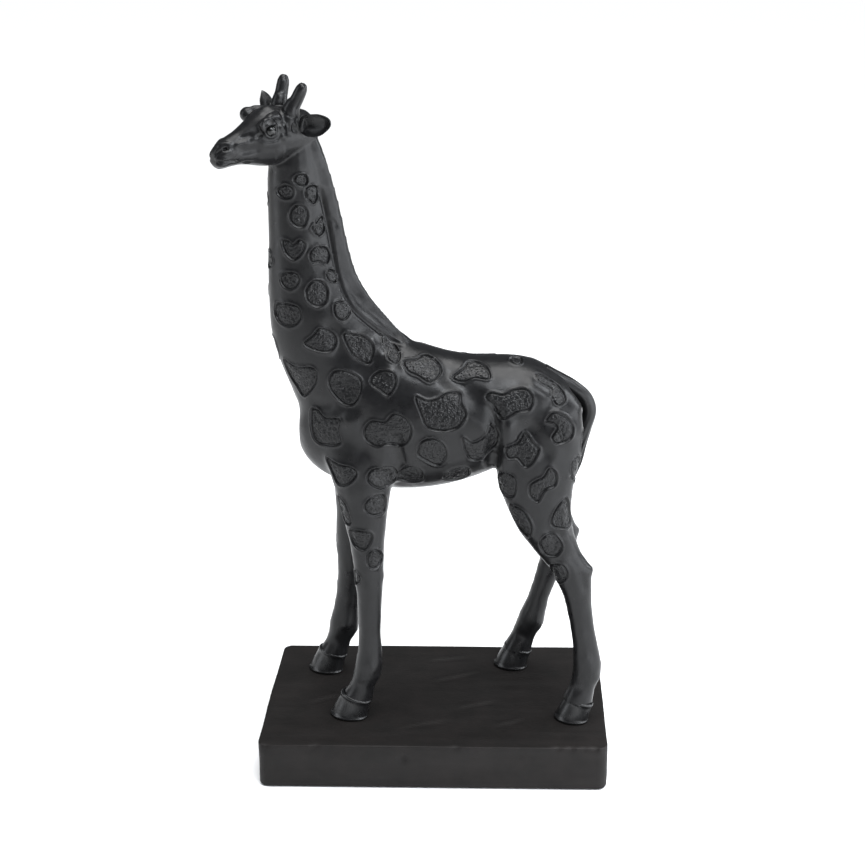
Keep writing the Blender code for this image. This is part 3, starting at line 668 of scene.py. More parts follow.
class Spot:
    """One incised spot: a smooth closed outline on the plane that touches the skin at its middle."""

    def __init__(self, tree, start, direction, outline):
        self.centre, normal, _, _ = tree.ray_cast(Vector(start), Vector(direction))
        if self.centre is None:
            return
        # The skin's mean slope over the spot, so that a bump doesn't tip the whole outline.
        total = Vector()
        for offset in ((0, 0, 0), (2, 0, 0), (-2, 0, 0), (0, 0, 2), (0, 0, -2), (0, 2, 0), (0, -2, 0)):
            total += tree.find_nearest(self.centre + Vector(offset))[1]
        normal = total.normalized()
        level = Vector((abs(direction[1]), abs(direction[0]), 0))
        self.u = (level - normal * level.dot(normal)).normalized()
        self.v = normal.cross(self.u) * (1 if normal.cross(self.u).z > 0 else -1)
        self.normal = normal
        # The outlines are drawn as they look from a little above the side, so a slope stretches them.
        rise = self.v.z * 0.94 + self.v.dot(Vector(direction)) * 0.35
        stretch = (1 / max(abs(self.u.dot(level)), 0.8), 0.94 / max(rise, 0.7))
        points = [(x * stretch[0], z * stretch[1]) for x, z in outline]
        self.outline = curve_through(points, 5, closed=True)
        self.reach = np.abs(self.outline).max() + 3

    def distances(self, skin):
        """The skin's points near the spot, and their distances to its outline, negative inside."""
        offset = skin.at - np.array(self.centre)
        faces_it = skin.normal @ np.array(self.normal) > 0.1
        close = np.where((np.abs(offset) < self.reach + 2).all(1) & faces_it)[0]
        offset = offset[close]
        flat = np.stack([offset @ np.array(self.u), offset @ np.array(self.v)], 1)
        close_enough = (np.abs(flat).max(1) < self.reach) & (np.abs(offset @ np.array(self.normal)) < 9)
        close, flat = close[close_enough], flat[close_enough]
        best = np.full(len(flat), np.inf)
        inside = np.zeros(len(flat), bool)
        ends = np.roll(self.outline, -1, axis=0)
        for start, end in zip(self.outline, ends):
            span = end - start
            t = np.clip((flat - start) @ span / max(span @ span, 1e-9), 0, 1)
            best = np.minimum(best, np.linalg.norm(flat - start - t[:, None] * span, axis=1))
            crosses = (start[1] > flat[:, 1]) != (end[1] > flat[:, 1])
            rise = np.where(abs(span[1]) < 1e-9, 1e-9, span[1])
            inside ^= crosses & (flat[:, 0] < span[0] * (flat[:, 1] - start[1]) / rise + start[0])
        return close, np.where(inside, -best, best)


def all_spots(skin):
    """Every spot of the figure. The right side's are the left's, shifted and turned a little, and on the
    legs moved to where the right leg stands."""
    tree = skin.tree()
    spots = []
    for i, (x, z, outline) in enumerate(SPOTS):
        spots.append(Spot(tree, (x, -90, z), (0, 1, 0), outline))
        shift = Vector([1.6 * noise.noise(Vector((i * 3.7, 1.3 + 5.1 * axis, 0.4))) for axis in range(3)])
        turn = shift.z * 0.9
        turned = [(-a * math.cos(turn) + b * math.sin(turn), a * math.sin(turn) + b * math.cos(turn))
                  for a, b in outline]
        if z < LEG_JOINT:
            pair = [leg_middle(skin, word + ("forehoof" if x < 0 else "hindhoof"), z)[0][0]
                    for word in ("left_", "right_")]
            x += pair[1] - pair[0]
        spots.append(Spot(tree, (x + 2 * shift.x, 90, z + 2 * shift.y), (0, -1, 0), turned))
    for y, z, outline in FRONT_SPOTS:
        spots.append(Spot(tree, (-120, MIDDLE_Y + y, z), (1, 0, 0), outline))
    for y, z, outline in REAR_SPOTS:
        spots.append(Spot(tree, (95, MIDDLE_Y + y, z), (-1, 0, 0), outline))
    return [spot for spot in spots if spot.centre is not None]


def outline_distance(skin, spots):
    """For each point of the skin, the distance to the nearest spot's outline, negative inside a spot."""
    nearest = np.full(len(skin.at), np.inf)
    for spot in spots:
        close, distance = spot.distances(skin)
        nearest[close] = np.minimum(nearest[close], distance)
    return nearest


def refine(skin, chosen):
    """Splits the edges of every face that has a chosen point."""
    bm = bmesh.new()
    bm.from_mesh(skin.mesh)
    bm.verts.ensure_lookup_table()
    edges = set()
    for index in np.where(chosen)[0]:
        for face in bm.verts[index].link_faces:
            edges.update(face.edges)
    bmesh.ops.subdivide_edges(bm, edges=list(edges), cuts=1, use_grid_fill=True, smooth=0.0)
    bm.to_mesh(skin.mesh)
    bm.free()
    skin.mesh.shade_smooth()
    skin.read()


def carve_spots(skin, spots, coarse=False):
    """Presses the spots into a skin, after splitting its faces finely enough for their outlines. A coarse
    skin is split once more."""
    if coarse:
        refine(skin, outline_distance(skin, spots) < 1.3)
        skin.relax(2, keep_size=True)
        skin.write()
    refine(skin, abs(outline_distance(skin, spots)) < 0.75)
    near = outline_distance(skin, spots) < 2.2
    skin.relax(3, near.astype(float), keep_size=True)
    skin.write()
    distance = np.minimum(outline_distance(skin, spots), 9.0)
    lip = LIP * np.exp(-((distance - 0.85) / 0.36) ** 2)
    groove = -GROOVE * np.exp(-(distance / 0.34) ** 2)
    floor = -FLOOR * smoothstep(0.1, -0.9, distance)
    pits = np.zeros(len(distance))
    for index in np.where(distance < -0.9)[0]:
        pits[index] = -PITS * smoothstep(0.05, 0.45, noise.noise(Vector(skin.at[index]) * 1.05))
    skin.at += skin.normal * (lip + groove + floor + pits)[:, None]
    skin.write()
    attribute = skin.mesh.attributes.new("spot_floor", "FLOAT", "POINT")
    attribute.data.foreach_set("value", smoothstep(-0.5, -1.1, distance).astype(np.float32))


# ---------------------------------------------------------------- strokes on the head
def side_touch(tree, forward, up, side):
    """The skin's point at a forward and up place, seen from the head's side. Past the muzzle's corner, the
    look turns towards the front."""
    ahead = max(0.0, (forward - 36) * 0.13)
    direction = HEAD.to_3x3() @ Vector((-ahead, -side, 0)).normalized()
    start = HEAD @ Vector((forward, 0, up)) - direction * 30
    return tree.ray_cast(start, direction)[0]


# Lines of one side of the face: points (forward, up), reach, height.
FACE = (
    # nostril: a slit that deepens upwards, under the roll of the nose
    ([(41.6, -5.2), (40.6, -3.8), (39.0, -2.2), (37.0, -1.1)], 0.95, -1.2),
    ([(38.4, -1.9), (36.6, -0.9)], 1.1, -2.2),
    ([(40.8, -1.4), (39.0, -0.1), (36.6, 0.7), (34.6, 0.4)], 1.3, 0.45),
    ([(38.6, -4.2), (36.6, -3.0), (34.4, -2.4)], 1.2, 0.45),
    # mouth, with a lip above and below it
    ([(42, -7.6), (39.5, -7.8), (36.5, -7.3), (33.6, -7.9), (31.6, -9.0)], 0.85, -1.2),
    ([(41.4, -6.2), (38.5, -6.3), (35, -6.0)], 1.0, 0.45),
    ([(41.3, -9.3), (38.5, -9.4), (35.5, -9.3)], 1.2, 0.55),
    ([(40.2, -11.0), (37.5, -11.5)], 1.0, -0.5),
    # ridge down the snout, with a hollow above it and the cheek's hollow below
    ([(34.6, -0.4), (30.5, 0.8), (26.5, 1.2)], 1.5, 0.8),
    ([(32, 2.4), (28, 3.6), (24.5, 4.6)], 1.7, -0.5),
    ([(33.6, -3.6), (29, -2.9), (24.5, -2.2), (21, -1.8)], 3.2, -0.9),
    ([(32, -6.2), (27, -6.4), (22.5, -7.0)], 2.6, 0.35),
    ([(29, -9.4), (24.5, -10.2)], 1.6, 0.5),
    # cheekbone, cheek
    ([(24, 0.6), (18, 0.0), (11, 1.0)], 2.8, 0.5),
    ([(15, -6), (9, -5)], 6, 0.7),
    # temple
    ([(11.6, 7.4)], 2.6, 0.9),
    ([(11.2, 3.2)], 2.4, 0.8),
    ([(8.2, 9.4), (8.6, 5.6), (7.8, 2.2)], 1.6, -0.4),
    # folds before the ear
    ([(5.4, 9.4), (6.1, 7.2), (5.4, 4.8)], 0.9, -0.8),
    ([(3.9, 10.6), (4.4, 8.6)], 0.9, -0.7),
)
EYE = (17.6, 9.8, 6.6)       # middle of the left eyeball, forward, left and up of the skull
EYE_RADIUS = 2.5


def arc(radius, start, end, lift=0.0, count=7, squash=1.0):
    """Points (forward, up) on an arc around the eye, in degrees from forwards."""
    turns = [math.radians(start + (end - start) * k / (count - 1)) for k in range(count)]
    return [(EYE[0] + radius * math.cos(a), EYE[2] + lift + squash * radius * math.sin(a)) for a in turns]


# Lids and socket of one eye, worked around its middle.
LIDS = (
    (arc(3.3, 12, 175, 0.2), 1.05, 1.25),
    (arc(3.2, 195, 350, 0.1), 0.8, 0.6),
    (arc(4.9, 20, 165, 0.5), 1.0, -0.75),
    (arc(5.0, 205, 310, -0.2), 1.2, -0.3),
    ([(20.9, 5.4), (22.6, 4.0), (24.6, 2.8)], 0.85, -0.9),
)


def carve_face(skin):
    tree = skin.tree()
    for side in (1, -1):
        for points, reach, height in FACE + LIDS:
            path = [side_touch(tree, forward, up, side) for forward, up in points]
            path = [p for p in path if p is not None]
            if path:
                skin.stroke(curve_through(path, 3) if len(path) > 1 else path, reach, height, 0.3)
        # A seat for the eyeball: the skin dips to just outside the ball's middle.
        press(skin, EYE[0], EYE[2], EYE_RADIUS + 0.9, side, EYE[1] + 0.3)
    # Folds around each horn's root, and the knot between them.
    for side in (1, -1):
        ring = []
        for k in range(13):
            a = k * math.tau / 12
            start = on_head(4.4 + 4.7 * math.cos(a), side * 5.4 + 4.7 * math.sin(a), 30)
            hit = tree.ray_cast(start, HEAD.to_3x3() @ Vector((0, 0, -1)))[0]
            if hit is not None and (HEAD.inverted() @ hit).z < 17:
                ring.append(hit)
        if len(ring) > 3:
            skin.stroke(ring, 1.2, -0.45, 0)
    knot = tree.ray_cast(on_head(14.5, 0, 30), HEAD.to_3x3() @ Vector((0, 0, -1)))[0]
    if knot is not None:
        skin.stroke([knot], 5, 0.8)


def press(skin, forward, up, reach, side, depth):
    """Flattens what stands further out than depth on one side of the skull, around a forward and up place."""
    turned = (skin.at - np.array(SKULL)) @ np.array(HEAD.to_3x3())
    far = np.hypot(turned[:, 0] - forward, turned[:, 2] - up) / reach
    dip = np.maximum(turned[:, 1] * side - depth, 0) * (1 - smoothstep(0.65, 1.0, far))
    skin.at -= np.array(HEAD.to_3x3() @ Vector((0, side, 0))) * dip[:, None]


def build_head(body_skin):
    """The skull with its horns, in finer detail than the body, and following the body's skin at the neck."""
    made = voxel_skin("head_skin", head_bmesh(), 0.5)
    skin = Skin(made.data)
    # The brow that the casting carries over the left eye is worked back to the eyeball's middle.
    press(skin, 19.0, 8.2, 7.5, 1, EYE[1] + 0.9)
    press(skin, 17.4, 6.4, 4.5, -1, EYE[1] + 1.2)
    skin.relax(26, keep_size=True)
    skin.relax(6)
    skin.write()
    carve_face(skin)
    skin.write()
    skin.relax(2, 0.7)
    skin.write()
    # The throat and nape pass into the neck's own skin.
    below = body_skin.tree()
    share = 1 - smoothstep(HEAD_JOINT + 0.5, HEAD_JOINT + 6.5, skin.at[:, 2])
    for index in np.where(share > 0)[0]:
        goal = below.find_nearest(Vector(skin.at[index]))[0]
        skin.at[index] += share[index] * (np.array(goal) - skin.at[index])
    skin.write()
    return made, skin


# ---------------------------------------------------------------- cutting the skins into their pieces
def distance_field(*names):
    """A tree over the castings of these names, in millimetres."""
    bm = casting_copy(*names)
    bmesh.ops.scale(bm, vec=(1 / MM,) * 3, verts=bm.verts)
    made = BVHTree.FromBMesh(bm)
    bm.free()
    return made


def hoof_plane(leg):
    """Where the leg meets its hoof: a point, and a normal that points up the leg and a little backwards."""
    hoof = leg.replace("leg", "hoof")
    lo, hi = low(hoof), high(hoof)
    middle = Vector(((lo[0] + hi[0]) / 2, (lo[1] + hi[1]) / 2, CORONET))
    return middle, Vector((math.sin(CORONET_SLOPE), 0, math.cos(CORONET_SLOPE)))


INLAY = 2.2      # how deep the mane's casting lies in its bed on the neck


def pieces_of(made, cuts, owner_of):
    """Cuts a skin along planes and shares its faces out by owner_of(place). Returns a closed mesh for each
    name, which keeps the whole skin's normals, so that the glue lines don't show under the paint. A name
    such as "mane:neck" is the mane's, and lies in a bed in the neck."""
    bm = bmesh.new()
    bm.from_mesh(made.data)
    for point, normal in cuts:
        bmesh.ops.bisect_plane(bm, geom=bm.verts[:] + bm.edges[:] + bm.faces[:],
                               plane_co=Vector(point) * MM, plane_no=Vector(normal))
    bm.normal_update()
    whole = bm.verts.layers.float_vector.new("whole_normal")
    owner = bm.faces.layers.int.new("owner")
    bm.faces.layers.int.new("cap")
    for vert in bm.verts:
        vert[whole] = vert.normal
    names = []
    for face in bm.faces:
        name = owner_of(face.calc_center_median() / MM)
        if name not in names:
            names.append(name)
        face[owner] = names.index(name)
    meshes = {name: one_piece(bm, names, name) for name in sorted({n.split(":")[0] for n in names if n})}
    bm.free()
    return meshes


def one_piece(bm, names, name):
    """The faces of one name as a closed mesh. names are those that the owner numbers stand for."""
    own = {i for i, n in enumerate(names) if n and n.split(":")[0] == name}
    bed = {i for i, n in enumerate(names) if n and n.endswith(":" + name)}
    part = bm.copy()
    owner = part.faces.layers.int["owner"]
    cap = part.faces.layers.int["cap"]
    bmesh.ops.delete(part, geom=[f for f in part.faces if f[owner] not in own | bed], context="FACES")
    if bed:
        sink(part, {f for f in part.faces if f[owner] in bed}, cap, INLAY + 0.3)
    if any(":" in names[i] for i in own):
        copied = bmesh.ops.duplicate(part, geom=part.verts[:] + part.edges[:] + part.faces[:])["geom"]
        under = [f for f in copied if isinstance(f, bmesh.types.BMFace)]
        sink(part, set(under), cap, INLAY)
        bmesh.ops.reverse_faces(part, faces=under)
        rim = [v for v in part.verts if v.is_boundary]
        bmesh.ops.remove_doubles(part, verts=rim, dist=0.002 * MM)
    caps = bmesh.ops.holes_fill(part, edges=[e for e in part.edges if e.is_boundary])["faces"]
    for face in bmesh.ops.triangulate(part, faces=caps)["faces"]:
        face[cap] = 1
    mesh = bpy.data.meshes.new(name)
    part.to_mesh(mesh)
    part.free()
    return with_whole_normals(mesh)


def sink(part, faces, cap, depth):
    """Moves the inner points of these faces inwards along their normals, and marks the faces as hidden."""
    for vert in {v for f in faces for v in f.verts}:
        if all(f in faces for f in vert.link_faces) and not vert.is_boundary:
            vert.co -= vert.normal * depth * MM
    for face in faces:
        face[cap] = 1


def with_whole_normals(mesh):
    """Gives the painted faces the whole skin's normals and the hidden ones their own flat normals."""
    mesh.shade_smooth()
    corner_point = np.empty(len(mesh.loops), np.int32)
    mesh.loops.foreach_get("vertex_index", corner_point)
    whole = np.empty(len(mesh.vertices) * 3, np.float32)
    mesh.attributes["whole_normal"].data.foreach_get("vector", whole)
    normals = whole.reshape(-1, 3)[corner_point]
    sizes = np.empty(len(mesh.polygons), np.int32)
    mesh.polygons.foreach_get("loop_total", sizes)
    flat = np.empty(len(mesh.polygons) * 3, np.float32)
    mesh.polygon_normals.foreach_get("vector", flat)
    cap = np.empty(len(mesh.polygons), np.int32)
    mesh.attributes["cap"].data.foreach_get("value", cap)
    on_cap = np.repeat(cap > 0, sizes)
    normals[on_cap] = np.repeat(flat.reshape(-1, 3), sizes, axis=0)[on_cap]
    mesh.normals_split_custom_set(normals)
    for name in ("whole_normal", "owner", "cap"):
        mesh.attributes.remove(mesh.attributes[name])
    return mesh


def new_piece(name, mesh, material, slot, *nodes):
    made = bpy.data.objects.new(name, mesh)
    bpy.context.scene.collection.objects.link(made)
    return finish_piece(made, material, slot, *nodes)


# ---------------------------------------------------------------- the mane's edge on the neck
MANE_FOOT = 219      # height at which the mane ends on the withers
# Middle line of the mane from the poll to the withers: x, z, half depth, half thickness, lean in degrees.
MANE = (
    (-56, 318, 4.4, 3.2, 2), (-53.8, 306, 5.8, 3.6, 5), (-50.6, 290, 6.3, 3.8, 9), (-48, 274, 6.7, 4.1, 12),
    (-44.4, 257.3, 7.2, 4.6, 22), (-38.6, 244.9, 7.8, 5.4, 36), (-30.2, 235.8, 7.4, 6, 46),
    (-21.4, 228.6, 6, 5.6, 50), (-13, 223.4, 3.6, 4, 54),
)


def mane_line(share):
    """The mane's middle line, moved by a share of its half depth away from the neck."""
    return [(x + deep * share * math.cos(math.radians(lean)), z + deep * share * math.sin(math.radians(lean)))
            for x, z, deep, _, lean in MANE]


def shape_mane(skin):
    """A crisp fold where the mane leaves the neck, and a hollow flank where it flares at the withers."""
    tree = skin.tree()
    for side in (1, -1):
        line = [(x, z) for x, z in curve_through(mane_line(-0.1), 3) if z < HEAD_JOINT]
        skin.stroke(flank_path(tree, line, side), 1.8, -1.7, 0.1)
        withers = flank_path(tree, curve_through(mane_line(0.35)[4:], 3), side)
        skin.stroke(withers, 6, -0.9)
    crack = flank_path(tree, [(-51, 288), (-47.5, 285.5), (-45.5, 282)], 1)    # a flaw of the casting
    skin.stroke(crack, 1.0, -0.5)


# ---------------------------------------------------------------- the figure's skin
def carve_body(skin):
    tree = skin.tree()
    for side in (1, -1):
        for points, reach, height in FLANK:
            path = flank_path(tree, curve_through(points, 3) if len(points) > 1 else points, side)
            if path:
                skin.stroke(path, reach, height)
    skin.write()
    for leg in LEGS:
        leg_strokes(skin, leg)
    skin.write()


# Where neck, legs and tail spring from the trunk: middle, reach, and how many passes soften the fold there.
ROOTS = (
    ((-44, MIDDLE_Y, 212), 42, 46), ((-38, -17, 172), 20, 10), ((-41, 23, 172), 20, 10),
    ((53, -14, 180), 30, 10), ((53, 21, 180), 30, 10), ((62, MIDDLE_Y, 206), 16, 14),
)


def blend_roots(skin):
    """Softens the folds that the bonded castings leave at their roots."""
    most = max(passes for _, _, passes in ROOTS)
    weight = np.zeros(len(skin.at))
    for middle, reach, passes in ROOTS:
        far = np.linalg.norm(skin.at - np.array(middle), axis=1)
        weight = np.maximum(weight, passes / most * (1 - smoothstep(reach * 0.6, reach, far)))
    skin.relax(most, weight)


def build_body():
    made = voxel_skin("body_skin", body_bmesh(), 1.62)
    skin = Skin(made.data)
    skin.relax(6, keep_size=True)
    blend_roots(skin)
    skin.write()
    carve_body(skin)
    skin.relax(3, 0.6)
    skin.write()
    x, _, z = skin.at.T
    throat_side = np.interp(z, [219, 245, 275, 318], [-34, -50, -57, -62])
    refine(skin, along_nape(skin) & (x > throat_side))
    skin.relax(2, (along_nape(skin) & (skin.at[:, 0] > -62)).astype(float), keep_size=True)
    skin.write()
    shape_mane(skin)
    skin.write()
    return made, skin


def along_nape(skin):
    """Which points lie in the band of the figure's middle that carries the mane."""
    return (abs(skin.at[:, 1] - MIDDLE_Y) < 9) & (skin.at[:, 2] > MANE_FOOT)


def body_owner(near_mane, near_rest, hoof_planes):
    """Names the casting that a place on the body's skin belongs to, or None in the head and the hooves."""
    def owner(place):
        if place.z > HEAD_JOINT:
            return None
        if place.z < LEG_JOINT:
            leg = ("left_" if place.y < MIDDLE_Y else "right_") + ("foreleg" if place.x < 0 else "hindleg")
            point, normal = hoof_planes[leg]
            return leg if (place - point).dot(normal) > 0 else None
        on_neck = (place - NECK_JOINT[0]).dot(NECK_JOINT[1]) > 0
        if place.z > 218 and abs(place.y - MIDDLE_Y) < 8 and place.x > -62:
            if near_mane.find_nearest(place)[3] < near_rest.find_nearest(place)[3]:
                return "mane:neck" if on_neck else "mane:trunk"
        return "neck" if on_neck else "trunk"
    return owner


def head_owner(near_horns, near_rest):
    """Names the casting that a place on the head's skin belongs to, or None below the head."""
    def owner(place):
        if place.z < HEAD_JOINT:
            return None
        on_skull = HEAD.inverted() @ place
        if on_skull.z > 12 and near_horns.find_nearest(place)[3] < near_rest.find_nearest(place)[3]:
            return "left_horn" if on_skull.y > 0 else "right_horn"
        return "head"
    return owner


def build_figure():
    """The whole painted figure but its eyes, ears, tail and hooves, in pieces."""
    body, body_skin = build_body()
    head, head_skin = build_head(body_skin)
    spots = all_spots(body_skin)
    carve_spots(body_skin, spots, coarse=True)
    carve_spots(head_skin, [spot for spot in spots if spot.centre.z > HEAD_JOINT - 6])
    hoof_planes = {leg: hoof_plane(leg) for leg in LEGS}
    cuts = [((0, 0, HEAD_JOINT), (0, 0, 1)), ((0, 0, LEG_JOINT), (0, 0, 1)), NECK_JOINT]
    rest = distance_field("neck", "trunk", "head")
    pieces = pieces_of(body, cuts, body_owner(distance_field("mane"), rest, hoof_planes))
    pieces |= pieces_of(head, cuts[:1], head_owner(distance_field("left_horn", "right_horn"),
                                                   distance_field("head")))
    for name, mesh in pieces.items():
        new_piece(name + "_skin", mesh, BLACK, "cast_resin", name)
    for skin in (body, head):
        bpy.data.objects.remove(skin)


# ---------------------------------------------------------------- separate castings
def build_eye(side, word):
    bm = bmesh.new()
    bmesh.ops.create_uvsphere(bm, u_segments=48, v_segments=32, radius=EYE_RADIUS)
    turn = HEAD @ Matrix.Translation((EYE[0], EYE[1] * side, EYE[2])) @ Matrix.Rotation(math.pi / 2, 4, "X")
    bmesh.ops.transform(bm, matrix=turn, verts=bm.verts)
    bmesh.ops.scale(bm, vec=(MM, MM, MM), verts=bm.verts)
    finish_piece(new_object(word + "_eyeball", bm), EYE_GLOSS, "eye_enamel", word + "_eye")


# Middle line of the left ear from its root: forward, side, up, half height, half thickness.
EAR = (
    (1.2, 7.2, 6.0, 2.4, 2.2), (1.2, 9.6, 6.9, 3.1, 2.0), (0.9, 12, 7.7, 4.2, 1.4), (0.2, 15, 8.7, 5.1, 1.0),
    (-1, 18.5, 9.7, 5.4, 0.9), (-2.4, 22, 11.1, 4.9, 0.85), (-3.2, 24.6, 12.1, 3.8, 0.8),
    (-3.7, 26.3, 12.7, 2.6, 0.65), (-3.95, 27, 12.95, 1.2, 0.4),
)


def build_ear(side, word):
    """A leaf with a rolled rim, hollowed on the side that faces forwards."""
    stations = curve_through(EAR, 4)
    if side < 0:
        stations[:, 0] += 0.3 * (stations[:, 1] - EAR[0][1])
    cup = np.clip((stations[:, 1] - 8.5) / 5, 0, 1) * 3.2 * np.clip((stations[:, 3] - 1.2) / 3.3, 0, 1)

    def leaf(verts, i):
        for vert in verts:
            c, s = vert.co.x, vert.co.y
            hollow = cup[i] * (c * c - 0.55) / stations[i, 4]
            vert.co.y = s * (1 - 0.25 * (s > 0) * (1 - c * c)) + hollow

    rings = []
    for i, (forward, across, up, tall, thin) in enumerate(stations):
        ahead = stations[min(i + 1, len(stations) - 1)] - stations[max(i - 1, 0)]
        axis = Vector((ahead[0], ahead[1] * side, ahead[2])).normalized()
        high_way = (Vector((0, 0, 1)) - axis * axis.z).normalized()
        front = high_way.cross(axis)
        if front.x < 0:
            front = -front
        turn = Matrix([[high_way[k], front[k], axis[k]] for k in range(3)]).to_4x4()
        rings.append((tall, thin, HEAD @ Matrix.Translation((forward, across * side, up)) @ turn))
    bm = loft(rings, 40, leaf)
    ear = new_object(word + "_ear_leaf", bm)
    subdivide(ear, 1)
    finish_piece(ear, SMOOTH_BLACK, "cast_resin", word + "_ear")


def subdivide(made, levels):
    modifier = made.modifiers.new("round", "SUBSURF")
    modifier.levels = levels
    modifier.render_levels = levels
    settled(made)


# Middle line of the tail from inside the croup to its tip: x, z, half depth, half width, lean in degrees.
TAIL = (
    (55, 208, 4.4, 4.2, 66), (62.5, 204.6, 4.2, 4, 56), (70, 200.6, 4, 3.8, 42), (76.4, 195.2, 3.8, 3.6, 22),
    (79, 187.6, 3.6, 3.4, 4), (76.8, 178.5, 3.5, 3.5, -8), (74.2, 169.5, 3.6, 3.8, -9),
    (72, 160, 3.6, 4, -10), (70, 151, 2, 2.4, -10),
)


def build_tail():
    """A cord that thins out of the croup and frays into a tuft with combed strands."""
    stations = curve_through(TAIL, 6)
    tuft = smoothstep(182, 166, stations[:, 1])

    def strands(verts, i):
        for k, vert in enumerate(verts):
            angle = k * math.tau / len(verts)
            comb = math.sin(9 * angle + 0.35 * i) + 0.5 * math.sin(5 * angle - 0.2 * i + 1.3)
            vert.co *= 1 + (0.015 + 0.075 * tuft[i]) * comb

    rings = []
    for x, z, deep, wide, lean in stations:
        tilt = math.radians(lean)
        turn = Matrix.Rotation(-tilt, 4, "Y")
        rings.append((deep, wide, Matrix.Translation((x, MIDDLE_Y, z)) @ turn))
    tail = new_object("tail_cord", loft(rings, 72, strands))
    finish_piece(tail, SMOOTH_BLACK, "cast_resin", "tail")


# Wall of a hoof, from sole to coronet: height, size as a share of the sole's, and shift back.
HOOF_WALL = (
    (0, 0.93, 0), (0.35, 1.0, 0), (1.2, 1.005, 0.1), (1.9, 0.955, 0.35), (4.5, 0.905, 1.2), (7.5, 0.85, 2.4),
    (9.6, 0.825, 3.3), (10.6, 0.84, 3.7), (11.4, 0.82, 4.0), (11.7, 0.74, 4.1), (10.9, 0.68, 4.0),
)


def build_hoof(leg):
    """A hoof with a flared rim on the ground, a sloping wall and a rolled coronet, notched at the heel."""
    hoof = leg.replace("leg", "hoof")
    lo, hi = low(hoof), high(hoof)
    middle = (lo + hi) / 2
    long_half, wide_half = (hi[0] - lo[0]) / 2, (hi[1] - lo[1]) / 2
    sole = PLINTH_TOP + 0.15
    walls = curve_through(HOOF_WALL, 3)

    def outline(verts, i):
        for vert in verts:
            x, y = vert.co.x, vert.co.y
            heel = smoothstep(0.1, 0.9, x)
            vert.co.x = x - 0.16 * heel * (1 - y * y) - 0.2 * heel * math.exp(-(y / 0.22) ** 2)
            vert.co.y = y * (1 + 0.08 * heel) * (1 - 0.06 * smoothstep(0.2, 1.0, -x))

    rings = []
    for height, share, back in walls:
        tilt = CORONET_SLOPE * min(max(height / 11, 0), 1)
        place_at = Matrix.Translation((middle[0] + back, middle[1], sole + height))
        rings.append((long_half * share, wide_half * share, place_at @ Matrix.Rotation(tilt, 4, "Y")))
    made = new_object(hoof + "_horn", loft(rings, 56, outline))
    finish_piece(made, HOOF_GLOSS, "hoof_enamel", hoof)


CORNER, TOP_EDGE, FOOT_EDGE = 5.0, 0.6, 1.2     # roundings of the plinth's upright, upper and lower edges
# Dents of the plinth's front (x, z, reach, depth), chips of its front top edge (x), and ridges that the brush
# left on its top (x, y, length, turn in degrees).
DENTS = ((-15, 18.5, 2.4, 1.3), (-13.6, 17.0, 1.9, 1.0), (22, 21, 1.6, 0.4))
CHIPS = (83, 77.5, 71, 64, -86, -60, 12)
BRUSH_RIDGES = ((10, 20, 34, 24), (22, -10, 26, 20), (-5, -30, 30, 18), (-60, -5, 20, 30), (40, -28, 18, 26),
                (5, 40, 26, 12))


